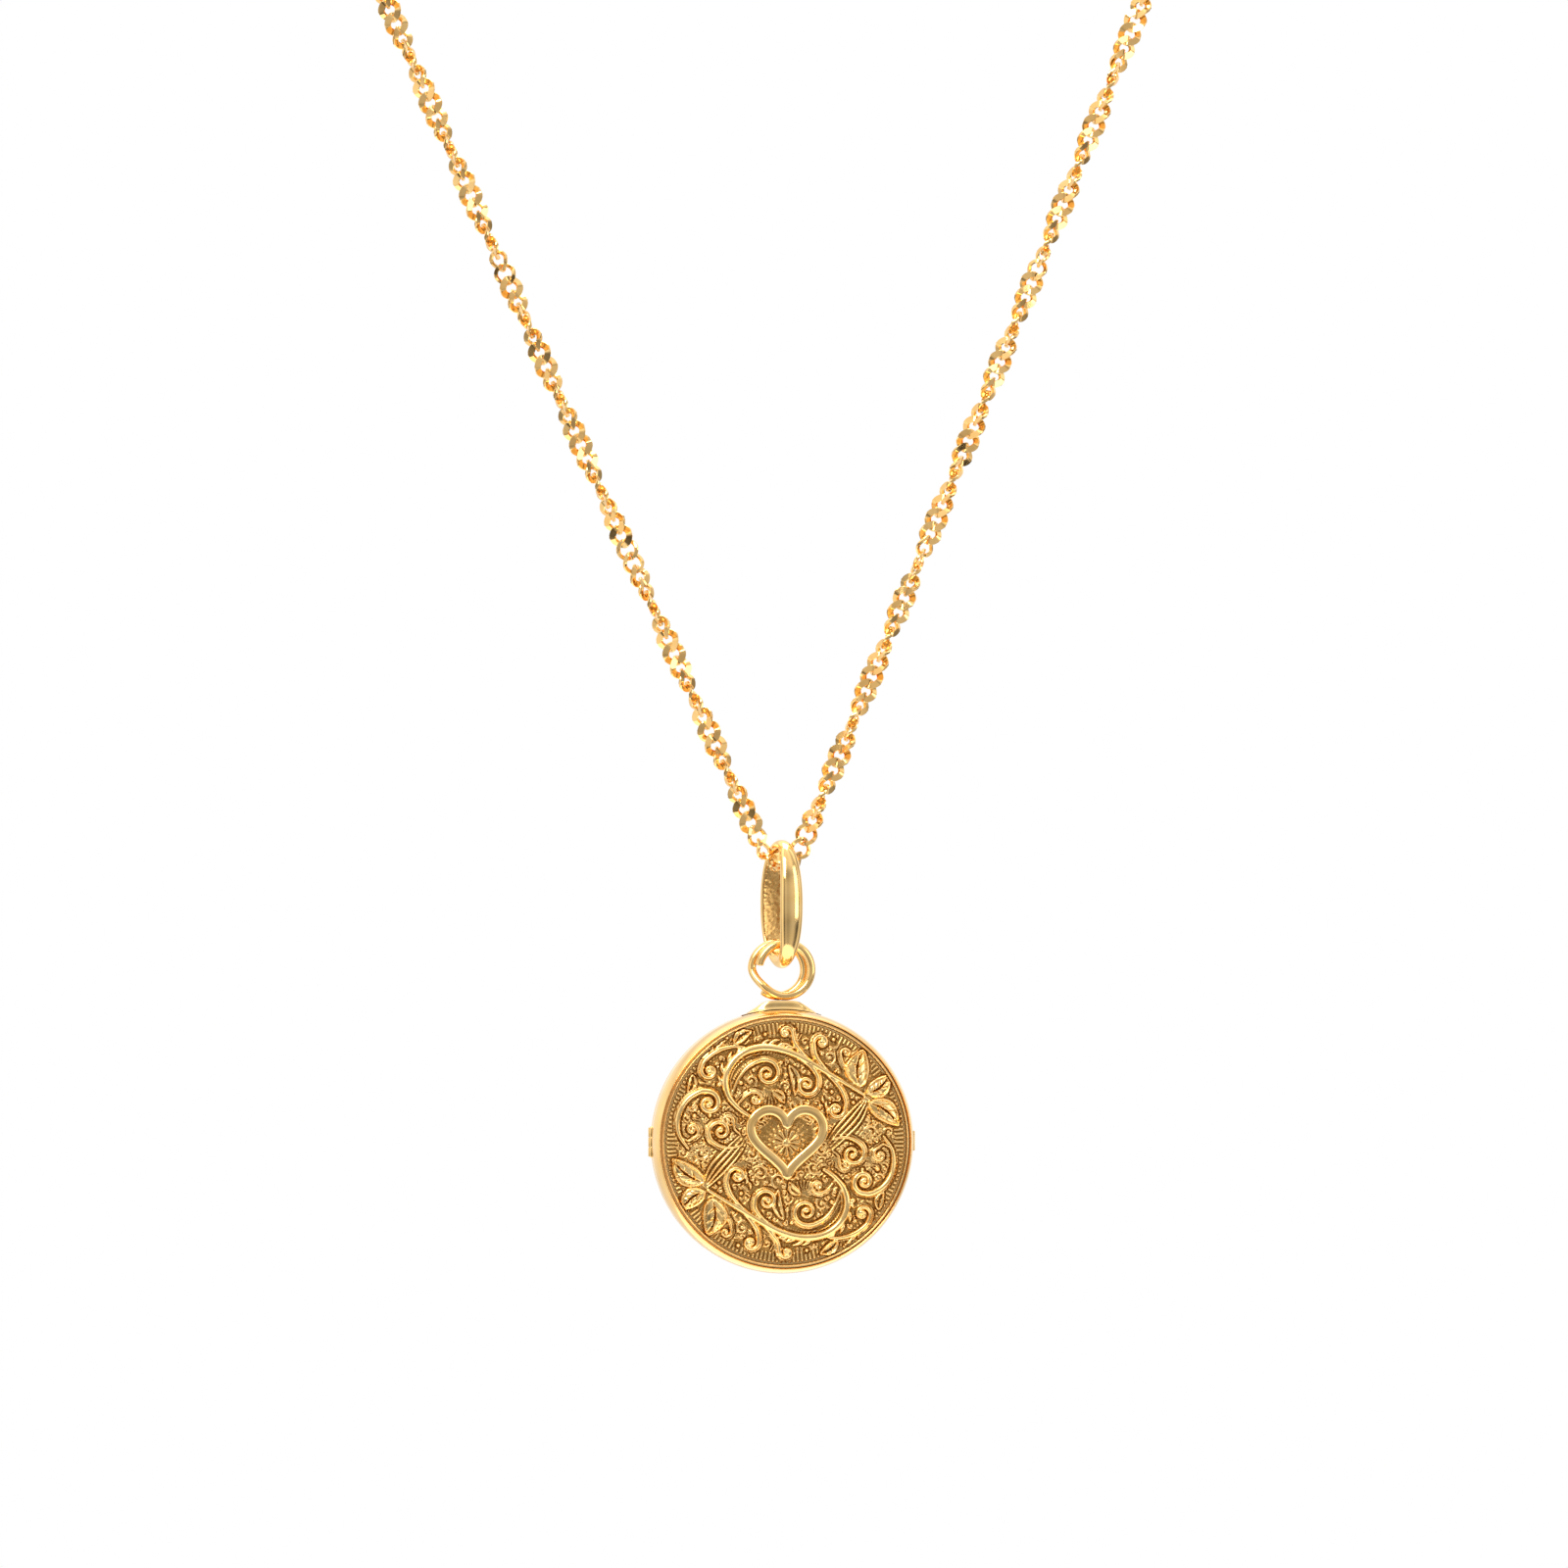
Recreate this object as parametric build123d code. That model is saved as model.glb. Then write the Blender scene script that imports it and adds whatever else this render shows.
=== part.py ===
from build123d import *
import math
import os
from bisect import bisect_left, bisect_right

# Round hinged picture locket hanging from a two-turn ring and an oval bail on
# the lower part of a fine twisted curb chain.  Millimetres, +Z up, +X to the
# viewer's right; the ornamental front faces -Y.  Origin: centre of the flat
# back face.

os.makedirs("parts", exist_ok=True)

# ------------------------------------------------------------- main dimensions
CASE_R = 9.0                # outer radius at the parting line
RIM_R = CASE_R - 0.04       # outer edge of the two meeting rims
WALL = 0.45
INNER_R = CASE_R - WALL     # inner wall radius at the parting line
BACK_FLAT_R = 7.30          # flat of the back face

PART_Y = -2.15              # parting plane between the covers
PART_GAP = 0.04             # daylight between the two rims
BACK_RIM_Y = PART_Y + PART_GAP / 2
FRONT_RIM_Y = PART_Y - PART_GAP / 2
BACK_FLOOR_Y = -0.50        # floor of the back cover's cavity
FRONT_FLOOR_Y = -3.60       # floor of the front cover's cavity

DISC_R = 7.55               # nominal radius of pictures and windows
FLOOR_R = DISC_R + 0.02     # flat floor of both cavities
SHOULDER_R = 8.06           # top of the bevel round the floor
SHOULDER_RISE = 0.22
CAVITY_OVERRUN = 1.0        # cavity cutters run this far past the rim

PANEL_R = 8.28              # edge of the domed front panel
PANEL_EDGE_Y = -4.06
DOME_Y = -4.56              # crown of the panel
PLATE_T = 0.26              # thickness of the decorated plate at its middle
SEAT_EDGE = (8.46, -3.90)   # (radius, y) points of the plate's domed underside
SEAT_MID = (4.2, -4.18)
SEAT_CROWN = (0, DOME_Y + PLATE_T)

# plane whose normal faces the viewer
FRONT_VIEW = dict(x_dir=(1, 0, 0), z_dir=(0, -1, 0))


# -------------------------------------------------------------------- helpers
def save(name, shape):
    """Write one piece as a single solid or a compound of its solids."""
    solids = list(shape.solids())
    piece = solids[0] if len(solids) == 1 else Compound(children=solids)
    piece.label = name
    export_step(piece, f"parts/{name}.step")


def largest(shape):
    return max(shape.solids(), key=lambda solid: solid.volume)


def turned(points):
    """Revolve a polygon of (radius, y) points about the locket's Y axis."""
    outline = Wire.make_polygon([Vector(r, y, 0) for r, y in points], close=True)
    return revolve(Face(outline), Axis.Y, 360)


def turned_edges(edges):
    """Revolve a closed run of profile edges about the locket's Y axis."""
    return revolve(Face(Wire(edges)), Axis.Y, 360)


def lines(*points):
    """Straight profile edges joining (radius, y) points in turn."""
    return [Edge.make_line(Vector(*a, 0), Vector(*b, 0)) for a, b in zip(points, points[1:])]


def curve(*points, tangents):
    """Spline profile edge through (radius, y) points with set end directions."""
    return Edge.make_spline([Vector(*p, 0) for p in points],
                            tangents=[Vector(*t, 0) for t in tangents])


def dome_curve():
    """Outer surface of the front panel, from its edge to its crown."""
    return curve((PANEL_R, PANEL_EDGE_Y), (4.2, -4.42), (0, DOME_Y),
                 tangents=[(-1, -0.12), (-1, 0)])


def direction(line, t, step):
    """Unit tangent of a parametric line at t."""
    return (line(t + step) - line(t - step)).normalized()


def section_plane(centre, outward, along):
    """Plane square to `along`, with its X axis as near `outward` as it can be."""
    x_dir = (outward - along * outward.dot(along)).normalized()
    return Plane(origin=centre, x_dir=x_dir, z_dir=along)


# ---------------------------------------------------------------- case covers
# Profile points are (radius, y).

# back half: barrel side and flat back
back_body = turned_edges([
    *lines((0, 0), (BACK_FLAT_R, 0)),
    curve((BACK_FLAT_R, 0), (8.28, -0.33), (8.72, -0.95), (8.93, -1.6), (RIM_R, BACK_RIM_Y),
          tangents=[(1, 0), (0.06, -1)]),
    *lines((RIM_R, BACK_RIM_Y), (0, BACK_RIM_Y), (0, 0)),
])
back_shoulder = (SHOULDER_R, BACK_FLOOR_Y - SHOULDER_RISE)
back_wall_start = (INNER_R, -1.75)
back_cavity = turned_edges([
    *lines((0, BACK_FLOOR_Y), (FLOOR_R, BACK_FLOOR_Y), back_shoulder),
    curve(back_shoulder, (8.36, -1.15), back_wall_start, tangents=[(0.5, -1), (0.05, -1)]),
    *lines(back_wall_start, (INNER_R, BACK_RIM_Y - CAVITY_OVERRUN),
           (0, BACK_RIM_Y - CAVITY_OVERRUN), (0, BACK_FLOOR_Y)),
])
back_shell = back_body - back_cavity

# front half: barrel side, rolled rim and the seat of the decorated plate
front_body = turned_edges([
    *lines((0, FRONT_RIM_Y), (RIM_R, FRONT_RIM_Y)),
    curve((RIM_R, FRONT_RIM_Y), (8.965, -2.75), (8.90, -3.30), (8.80, -3.74), (8.69, -4.03),
          tangents=[(0.06, -1), (-0.55, -1)]),
    curve((8.69, -4.03), (8.63, -4.11), (8.57, -4.05), tangents=[(-0.55, -1), (-0.45, 1)]),
    *lines((8.57, -4.05), (8.53, -3.92), SEAT_EDGE),
    curve(SEAT_EDGE, SEAT_MID, SEAT_CROWN, tangents=[(-1, -0.10), (-1, 0)]),
    *lines(SEAT_CROWN, (0, FRONT_RIM_Y)),
])
front_shoulder = (SHOULDER_R, FRONT_FLOOR_Y + SHOULDER_RISE)
front_wall_end = (INNER_R, -2.80)
front_cavity = turned_edges([
    *lines((0, FRONT_RIM_Y + CAVITY_OVERRUN), (INNER_R, FRONT_RIM_Y + CAVITY_OVERRUN),
           front_wall_end),
    curve(front_wall_end, (8.34, -3.25), front_shoulder, tangents=[(-0.05, -1), (-0.5, -1)]),
    *lines(front_shoulder, (FLOOR_R, FRONT_FLOOR_Y), (0, FRONT_FLOOR_Y),
           (0, FRONT_RIM_Y + CAVITY_OVERRUN)),
])
front_shell = front_body - front_cavity

# plate set into the front rim: a fine ridge at its edge, a shallow dome inside it
decorated_plate = turned_edges([
    curve(SEAT_CROWN, SEAT_MID, SEAT_EDGE, tangents=[(1, 0), (1, 0.10)]),
    *lines(SEAT_EDGE, (8.44, -4.12)),
    curve((8.44, -4.12), (8.38, -4.18), (8.32, -4.12), tangents=[(-0.3, -1), (-0.3, 1)]),
    *lines((8.32, -4.12), (PANEL_R, PANEL_EDGE_Y)),
    dome_curve(),
    *lines((0, DOME_Y), SEAT_CROWN),
])
save("decorated_plate", decorated_plate)

# ---------------------------------------------------------------------- hinge
HINGE_X = -8.90
KNUCKLE_R = 0.25
KNUCKLE_H = 0.64
KNUCKLE_GAP = 0.025
KNUCKLE_PITCH = KNUCKLE_H + KNUCKLE_GAP
HINGE_H = 3 * KNUCKLE_H + 2 * KNUCKLE_GAP
PIN_R = 0.12
PIN_CLEARANCE = 0.018       # in the two front knuckles
PIN_EXTRA = 0.16            # pin length beyond the knuckles, both ends together
PIN_ROUND = 0.05
LEAF_X = -8.75
LEAF_W = 0.56
LEAF_NEAR, LEAF_FAR = 0.10, 0.80    # reach of a leaf from the parting plane
SCALLOP_CLEARANCE = 0.04
SCALLOP_EXTRA_H = 0.06

hinge_at = Pos(HINGE_X, PART_Y, 0)


def knuckle(z, side, bore_r):
    """Hinge tube with a leaf let into its cover's wall; side is +1 back, -1 front."""
    tube = hinge_at * Pos(0, 0, z) * Cylinder(KNUCKLE_R, KNUCKLE_H)
    y_near, y_far = PART_Y + side * LEAF_NEAR, PART_Y + side * LEAF_FAR
    leaf = Pos(LEAF_X, (y_near + y_far) / 2, z) * Box(LEAF_W, abs(y_far - y_near), KNUCKLE_H)
    # the leaf keeps to the wall: outside the cavity and inside the outer skin
    wall = back_body - back_cavity if side > 0 else front_body - front_cavity
    leaf = leaf & wall
    return (tube + leaf) - hinge_at * Cylinder(bore_r, 3 * HINGE_H), leaf


knuckle_back, leaf_back = knuckle(0.0, 1, PIN_R)
knuckle_upper, leaf_upper = knuckle(KNUCKLE_PITCH, -1, PIN_R + PIN_CLEARANCE)
knuckle_lower, leaf_lower = knuckle(-KNUCKLE_PITCH, -1, PIN_R + PIN_CLEARANCE)
save("hinge_knuckle_back", knuckle_back)
save("hinge_knuckle_front_upper", knuckle_upper)
save("hinge_knuckle_front_lower", knuckle_lower)

# both covers are scalloped for the knuckles and cut away for their leaves
scallop = hinge_at * Cylinder(KNUCKLE_R + SCALLOP_CLEARANCE, HINGE_H + SCALLOP_EXTRA_H)
save("back_cover", back_shell - scallop - leaf_back)
save("front_cover", front_shell - scallop - leaf_upper - leaf_lower)

hinge_pin = hinge_at * Cylinder(PIN_R, HINGE_H + PIN_EXTRA)
save("hinge_pin", fillet(hinge_pin.edges().filter_by(GeomType.CIRCLE), PIN_ROUND))

# ------------------------------------------------- closing lip, catch and tab
LIP_OUTER_R = 8.49
LIP_INNER_R = 8.20
LIP_ROOT_Y = -1.55
LIP_END_Y = FRONT_RIM_Y - 0.50      # the lip enters the front cover this far
LIP_BEVEL_R, LIP_BEVEL_Y = 0.09, 0.08
BAND_R = LIP_OUTER_R - 0.02         # band that fills between the lip and the wall
BAND_ROOT_Y = -1.80
BAND_END_Y = BACK_RIM_Y - 0.12

CATCH_R = 0.17
CATCH_LENGTH = 0.46
CATCH_X = 8.29
CATCH_Y = FRONT_RIM_Y - 0.26
CATCH_ROUND = 0.04

TAB_X, TAB_Y = 8.85, -2.52
TAB_SIZE = (0.54, 0.34, 1.35)
TAB_ROUND = 0.08

closing_lip = turned([
    (LIP_INNER_R, LIP_ROOT_Y), (LIP_OUTER_R, LIP_ROOT_Y),
    (LIP_OUTER_R, LIP_END_Y + LIP_BEVEL_Y), (LIP_OUTER_R - LIP_BEVEL_R, LIP_END_Y),
    (LIP_INNER_R, LIP_END_Y),
])
closing_lip = closing_lip + turned([(BAND_R, BAND_ROOT_Y), (INNER_R, BAND_ROOT_Y),
                                    (INNER_R, BAND_END_Y), (BAND_R, BAND_END_Y)])
# the lip stops short of the hinge
closing_lip = closing_lip - Pos(HINGE_X + 0.50, PART_Y, 0) * Box(0.70, 3, HINGE_H + 0.20)
catch_hole = Pos(8.3, CATCH_Y, 0) * Rot(0, 90, 0) * Cylinder(CATCH_R, 1.2)
save("closing_lip", closing_lip - catch_hole)

# rivet-like pip through the lip, opposite the hinge
catch_pip = Pos(CATCH_X, CATCH_Y, 0) * Rot(0, 90, 0) * Cylinder(CATCH_R, CATCH_LENGTH)
save("catch_pip", fillet(catch_pip.edges().filter_by(GeomType.CIRCLE), CATCH_ROUND))

# thumb tab on the front cover's edge, opposite the hinge
thumb_tab = largest(Pos(TAB_X, TAB_Y, 0) * Box(*TAB_SIZE) - front_body)
save("thumb_tab", fillet(thumb_tab.edges().group_by(Axis.X)[-1], TAB_ROUND))

# ------------------------------------------------- pictures, windows, frames
PICTURE_R = DISC_R - 0.05
PICTURE_T = 0.20
WINDOW_R = DISC_R - 0.03
WINDOW_T = 0.25
FRAME_OUTER_R = 8.02
FRAME_OPENING_R = 7.05
FRAME_DEPTH = 0.75
FRAME_BASE_INNER, FRAME_BASE_OUTER = 0.20, 0.24     # heights of the base above the floor
FRAME_OUTER_BEVEL = 0.12
FRAME_INNER_BEVEL = 0.10
NOTCH_SIZE = (1.5, 0.36, 0.5)


def disc(radius, y_start, y_end):
    return turned([(0, y_start), (radius, y_start), (radius, y_end), (0, y_end)])


def frame_ring(floor_y, side):
    """L-section bezel with a fingernail notch at top and bottom of its opening."""
    y_lip = floor_y + side * (PICTURE_T + WINDOW_T)
    y_end = floor_y + side * FRAME_DEPTH
    ring = turned([
        (DISC_R, floor_y + side * FRAME_BASE_INNER),
        (FRAME_OUTER_R, floor_y + side * FRAME_BASE_OUTER),
        (FRAME_OUTER_R, y_end - side * FRAME_OUTER_BEVEL),
        (FRAME_OUTER_R - FRAME_OUTER_BEVEL, y_end),
        (FRAME_OPENING_R + FRAME_INNER_BEVEL, y_end),
        (FRAME_OPENING_R, y_end - side * FRAME_INNER_BEVEL),
        (FRAME_OPENING_R, y_lip),
        (DISC_R, y_lip),
    ])
    for z_sign in (-1, 1):
        ring = ring - Pos(0, y_end, z_sign * FRAME_OPENING_R) * Box(*NOTCH_SIZE)
    return ring


# side is the Y direction from the cover's floor to the parting plane
for cover, floor_y, side in (("back", BACK_FLOOR_Y, -1), ("front", FRONT_FLOOR_Y, 1)):
    picture_top = floor_y + side * PICTURE_T
    window_top = picture_top + side * WINDOW_T
    save(f"{cover}_picture", disc(PICTURE_R, floor_y, picture_top))
    save(f"{cover}_window", disc(WINDOW_R, picture_top, window_top))
    save(f"{cover}_picture_frame", frame_ring(floor_y, side))

# -------------------------------------------------------------- applied heart
HEART_FRONT = 4.95          # the heart stands out to this depth
HEART_SCALE = 0.155
HEART_RAISE = 2.4           # upward shift, before scaling
HEART_POINTS = 72
HEART_BAR_HALF = 0.36       # half width of the bar
HEART_CHAMFER = 0.14


def heart_outline():
    """(x, z) points of the bar's centreline."""
    points = []
    for i in range(HEART_POINTS):
        t = 2 * math.pi * i / HEART_POINTS
        x = 16 * math.sin(t) ** 3
        z = 13 * math.cos(t) - 5 * math.cos(2 * t) - 2 * math.cos(3 * t) - math.cos(4 * t)
        points.append((x * HEART_SCALE, (z + HEART_RAISE) * HEART_SCALE))
    return points


def heart_face(amount):
    """Heart-shaped face, grown by amount from the centreline of the bar."""
    outline = Wire.make_polygon([Vector(x, z, 0) for x, z in heart_outline()], close=True)
    return offset(Face(outline), amount=amount, kind=Kind.ARC)


def make_heart():
    """Open heart of flat bar, seated on the domed panel."""
    bar_face = heart_face(HEART_BAR_HALF) - heart_face(-HEART_BAR_HALF)
    bar = extrude(Plane(origin=(0, 0, 0), **FRONT_VIEW) * bar_face,
                  amount=HEART_FRONT, dir=(0, -1, 0))
    heart = largest(bar - turned_edges([
        *lines((0, 0), (PANEL_R, 0), (PANEL_R, PANEL_EDGE_Y)),
        dome_curve(),
        *lines((0, DOME_Y), (0, 0)),
    ]))
    front_edges = [e for e in heart.edges() if (e @ 0.5).Y < -HEART_FRONT + 0.001]
    # guards the chamfer: if the kernel can't make it, the edges stay square
    try:
        return chamfer(front_edges, HEART_CHAMFER)
    except Exception:
        return heart


save("applied_heart", make_heart())

# ----------------------------------------------------------------- split ring
# Two turns of one wire.  The rear turn starts at a free end low on the left,
# goes once round, then steps forward and to the right into the front turn.
RING_Z = 11.68
RING_WIRE = 0.58
RING_R = 1.80               # centreline radius of both turns
RING_SPREAD = 0.40          # the front turn stands this far right of the rear one
RING_PITCH = 0.62           # front-to-back distance between the turns
# angles in degrees from +X towards +Z
REAR_START, STEP_START, STEP_END, FRONT_END = -123.0, 172.0, 232.0, 528.0
# (start, end, number of loft steps)
RING_PIECES = [(REAR_START, STEP_START, 16), (STEP_START, STEP_END, 5),
               (STEP_END, FRONT_END, 16)]


def ring_line(angle):
    u = min(1.0, max(0.0, (angle - STEP_START) / (STEP_END - STEP_START)))
    forward = u * u * (3 - 2 * u)
    return Vector(
        -RING_SPREAD / 2 + RING_SPREAD * forward + RING_R * math.cos(math.radians(angle)),
        PART_Y + RING_PITCH / 2 - RING_PITCH * forward,
        RING_Z + RING_R * math.sin(math.radians(angle)))


def ring_section(angle):
    centre = ring_line(angle)
    outward = centre - Vector(0, centre.Y, RING_Z)
    plane = section_plane(centre, outward, direction(ring_line, angle, 0.01))
    return Wire([Edge.make_circle(RING_WIRE / 2, plane)])


def ring_piece(start, end, steps):
    return Solid.make_loft([ring_section(start + (end - start) * i / steps)
                            for i in range(steps + 1)])


rear_turn, step_piece, front_turn = [ring_piece(*piece) for piece in RING_PIECES]
save("split_ring", rear_turn + step_piece + front_turn)

# --------------------------------------------------------------------- saddle
# Pad on top of the back cover, under the ring.
SADDLE_R = 9.585            # crown radius about the locket's axis
SADDLE_Y = -1.90
SADDLE_DEPTH = 1.9
SADDLE_CLEARANCE = 0.005    # from the front cover
# right-hand half of the front view, bottom to top: (x, z)
SADDLE_HALF = [(2.80, 8.3), (2.70, 8.62), (2.20, 8.84), (1.80, 9.08), (1.45, 9.38), (1.15, 9.64)]


def make_saddle():
    pad = Pos(0, SADDLE_Y, 0) * Rot(90, 0, 0) * Cylinder(SADDLE_R, SADDLE_DEPTH)
    pad = pad & (Pos(0, SADDLE_Y, 9.0) * Box(6.0, 3, 2.2))
    left_half = [(-x, z) for x, z in SADDLE_HALF]
    outline = Polyline(*left_half, *reversed(SADDLE_HALF), close=True)
    profile_plane = Plane(origin=(0, -3.18, 0), **FRONT_VIEW)
    pad = pad & extrude(profile_plane * make_face(outline), amount=-2.5)
    pad = pad - back_body
    clear_r = CASE_R + SADDLE_CLEARANCE
    return largest(pad - disc(clear_r, BACK_RIM_Y, -4.4))


save("ring_saddle", make_saddle())

# ----------------------------------------------------------------------- bail
# Oval loop standing front to back, of elliptical section, widest half way up.
BAIL_TOP = 20.50
BAIL_BOTTOM = 11.76
BAIL_MID_Z = (BAIL_TOP + BAIL_BOTTOM) / 2
BAIL_HALF_HEIGHT = (BAIL_TOP - BAIL_BOTTOM) / 2
BAIL_HALF_DEPTH = 2.27
BAIL_THICK = 0.74
BAIL_FOOT_THICK = 1.12      # at the foot that carries the ring
BAIL_FOOT_POWER = 6         # higher keeps the thickening nearer the foot
BAIL_WIDTH = 1.60           # half way up
BAIL_END_WIDTH = 0.96       # at the crown and the foot
BAIL_WIDTH_POWER = 2.2      # higher keeps the legs wide for longer
BAIL_OVAL_POWER = 2.3       # 2 is an ellipse
BAIL_YAW = 13.0
BAIL_STEPS = 14             # loft steps in each half
BAIL_SAMPLES = 2000         # fine samples used to measure each half


def bail_rim(t):
    """Outer outline of the loop, seen from its side."""
    cosine, sine = math.cos(t), math.sin(t)
    power = 2 / BAIL_OVAL_POWER
    return Vector(0, PART_Y + BAIL_HALF_DEPTH * math.copysign(abs(cosine) ** power, cosine),
                  BAIL_MID_Z + BAIL_HALF_HEIGHT * math.copysign(abs(sine) ** power, sine))


def bail_frame(t):
    """Centre of the section, its direction and its thickness."""
    along = direction(bail_rim, t, 1e-3)
    outward = Vector(0, along.Z, -along.Y)
    rim = bail_rim(t)
    lowness = max(0.0, (BAIL_MID_Z - rim.Z) / BAIL_HALF_HEIGHT)
    thick = BAIL_THICK + (BAIL_FOOT_THICK - BAIL_THICK) * lowness ** BAIL_FOOT_POWER
    return rim - outward * (thick / 2), along, thick


def bail_section(t):
    centre, along, thick = bail_frame(t)
    endness = min(1.0, abs(bail_rim(t).Z - BAIL_MID_Z) / BAIL_HALF_HEIGHT)
    width = BAIL_END_WIDTH + (BAIL_WIDTH - BAIL_END_WIDTH) * (1 - endness ** BAIL_WIDTH_POWER)
    plane = Plane(origin=centre, x_dir=(1, 0, 0), z_dir=along)
    return Wire([Edge.make_ellipse(width / 2, thick / 2, plane)])


def even_steps(start, end):
    """Parameters that divide the bail from start to end into equal lengths."""
    samples = [start + (end - start) * i / BAIL_SAMPLES for i in range(BAIL_SAMPLES + 1)]
    centres = [bail_frame(t)[0] for t in samples]
    lengths = [0.0]
    for a, b in zip(centres, centres[1:]):
        lengths.append(lengths[-1] + (b - a).length)
    return [samples[bisect_left(lengths, lengths[-1] * i / BAIL_STEPS - 1e-9)]
            for i in range(BAIL_STEPS + 1)]


bail_halves = [Solid.make_loft([bail_section(t) for t in even_steps(start, start + math.pi)])
               for start in (0, math.pi)]
bail = bail_halves[0] + bail_halves[1]
save("bail", Pos(0, PART_Y, 0) * Rot(0, 0, BAIL_YAW) * Pos(0, -PART_Y, 0) * bail)

# ----------------------------------------------------------------- chain line
# The chain hangs in the plane y = CHAIN_Y: two nearly straight runs that leave
# a tight turn under the bail's crown.  Each run bows slightly.
CHAIN_Y = PART_Y
CHAIN_TOP_Z = 79.2
CHAIN_OVERRUN = 4           # the line is worked out this far above the top
TURN_R = 1.20
TURN_Z = 19.91
TURN_STEPS = 60
RUN_STEPS = 240
# slopes are dx/dz of a run, at its bottom and at its top
LEFT_SLOPE, LEFT_SLOPE_TOP = 0.461, 0.434
RIGHT_SLOPE, RIGHT_SLOPE_TOP = 0.424, 0.391


def run_points(sign, slope, slope_top):
    """(x, z) points up one run; sign is -1 left, +1 right."""
    angle = math.atan(slope)
    x, z = TURN_R * math.cos(angle), TURN_Z - TURN_R * math.sin(angle)
    rise = (CHAIN_TOP_Z + CHAIN_OVERRUN - z) / RUN_STEPS
    points = []
    for i in range(RUN_STEPS + 1):
        points.append((sign * x, z))
        x += rise * (slope + (slope_top - slope) * (i + 0.5) / RUN_STEPS)
        z += rise
    return points


def turn_points():
    """(x, z) points round the turn, left to right, without its ends."""
    start = math.pi + math.atan(LEFT_SLOPE)
    end = 2 * math.pi - math.atan(RIGHT_SLOPE)
    angles = [start + (end - start) * i / TURN_STEPS for i in range(1, TURN_STEPS)]
    return [(TURN_R * math.cos(a), TURN_Z + TURN_R * math.sin(a)) for a in angles]


path = [*reversed(run_points(-1, LEFT_SLOPE, LEFT_SLOPE_TOP)), *turn_points(),
        *run_points(1, RIGHT_SLOPE, RIGHT_SLOPE_TOP)]
path_length = [0.0]
for a, b in zip(path, path[1:]):
    path_length.append(path_length[-1] + math.hypot(b[0] - a[0], b[1] - a[1]))
lowest = min(range(len(path)), key=lambda i: path[i][1])


def chain_at(distance):
    """x, z and unit tangent (x, z) at an arc length from the lowest point."""
    length = distance + path_length[lowest]
    i = max(0, min(len(path) - 2, bisect_right(path_length, length) - 1))
    f = (length - path_length[i]) / (path_length[i + 1] - path_length[i])
    x = path[i][0] + f * (path[i + 1][0] - path[i][0])
    z = path[i][1] + f * (path[i + 1][1] - path[i][1])
    before, after = path[max(0, i - 1)], path[min(len(path) - 1, i + 2)]
    dx, dz = after[0] - before[0], after[1] - before[1]
    size = math.hypot(dx, dz)
    return x, z, dx / size, dz / size


# ---------------------------------------------------------------- chain twist
# The band of links turns steadily about its own line.  These are the heights
# where each run is seen edge on, half a turn apart.
EDGE_ON_LEFT = [24.57, 29.83, 35.77, 44.10, 50.03, 55.23, 60.70, 66.90, 73.03, 78.25]
EDGE_ON_RIGHT = [23.03, 28.10, 33.90, 38.70, 44.70, 50.23, 55.30, 60.83, 65.97, 71.70, 79.08]
BOTTOM_ANGLE = 75.0         # turn of the band at the lowest point


def height_to_distance(height, sign):
    """Arc length from the lowest point where the given run passes a height."""
    i = lowest
    while path[i][1] < height:
        i += sign
    return path_length[i] - path_length[lowest]


# (arc length, angle in degrees), left to right
twist_table = [(height_to_distance(z, -1), 270.0 + 180 * i)
               for i, z in enumerate(EDGE_ON_LEFT)][::-1]
twist_table += [(0.0, BOTTOM_ANGLE)]
twist_table += [(height_to_distance(z, 1), -90.0 - 180 * i)
                for i, z in enumerate(EDGE_ON_RIGHT)]


def band_turn(distance):
    """Degrees between the band's wide direction and the plane of the two runs."""
    if distance <= twist_table[0][0]:
        return twist_table[0][1]
    for (s0, angle0), (s1, angle1) in zip(twist_table, twist_table[1:]):
        if distance <= s1:
            return angle0 + (angle1 - angle0) * (distance - s0) / (s1 - s0)
    return twist_table[-1][1]


# ---------------------------------------------------------------- chain links
CHAIN_WIRE = 0.30
LINK_PITCH = 0.97
LINK_HALF_LENGTH = 0.645    # of the link's centreline
LINK_HALF_WIDTH = 0.625
LINK_TWIST = 30.0           # twist of a link's ends against its middle
LINK_STEPS = 6              # loft steps in each half
CENTRE_LINKS = 2            # links each side of the lowest one that stay with it
SEGMENT_LINKS = 22


def link_line(t):
    """Wire oval whose ends are turned against its middle."""
    along, across = LINK_HALF_LENGTH * math.cos(t), LINK_HALF_WIDTH * math.sin(t)
    twist = math.radians(LINK_TWIST) * along / LINK_HALF_LENGTH
    return Vector(along, across * math.cos(twist), across * math.sin(twist))


def link_section(t):
    """Round wire section, drawn as four quarter arcs."""
    centre = link_line(t)
    plane = section_plane(centre, centre, direction(link_line, t, 1e-4))
    return Wire([Edge.make_circle(CHAIN_WIRE / 2, plane, start_angle=a, end_angle=a + 90)
                 for a in (45, 135, 225, 315)])


link_halves = [Solid.make_loft([link_section(math.pi * (half + i / LINK_STEPS))
                                for i in range(LINK_STEPS + 1)]) for half in (0, 1)]
link = link_halves[0] + link_halves[1]


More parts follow.
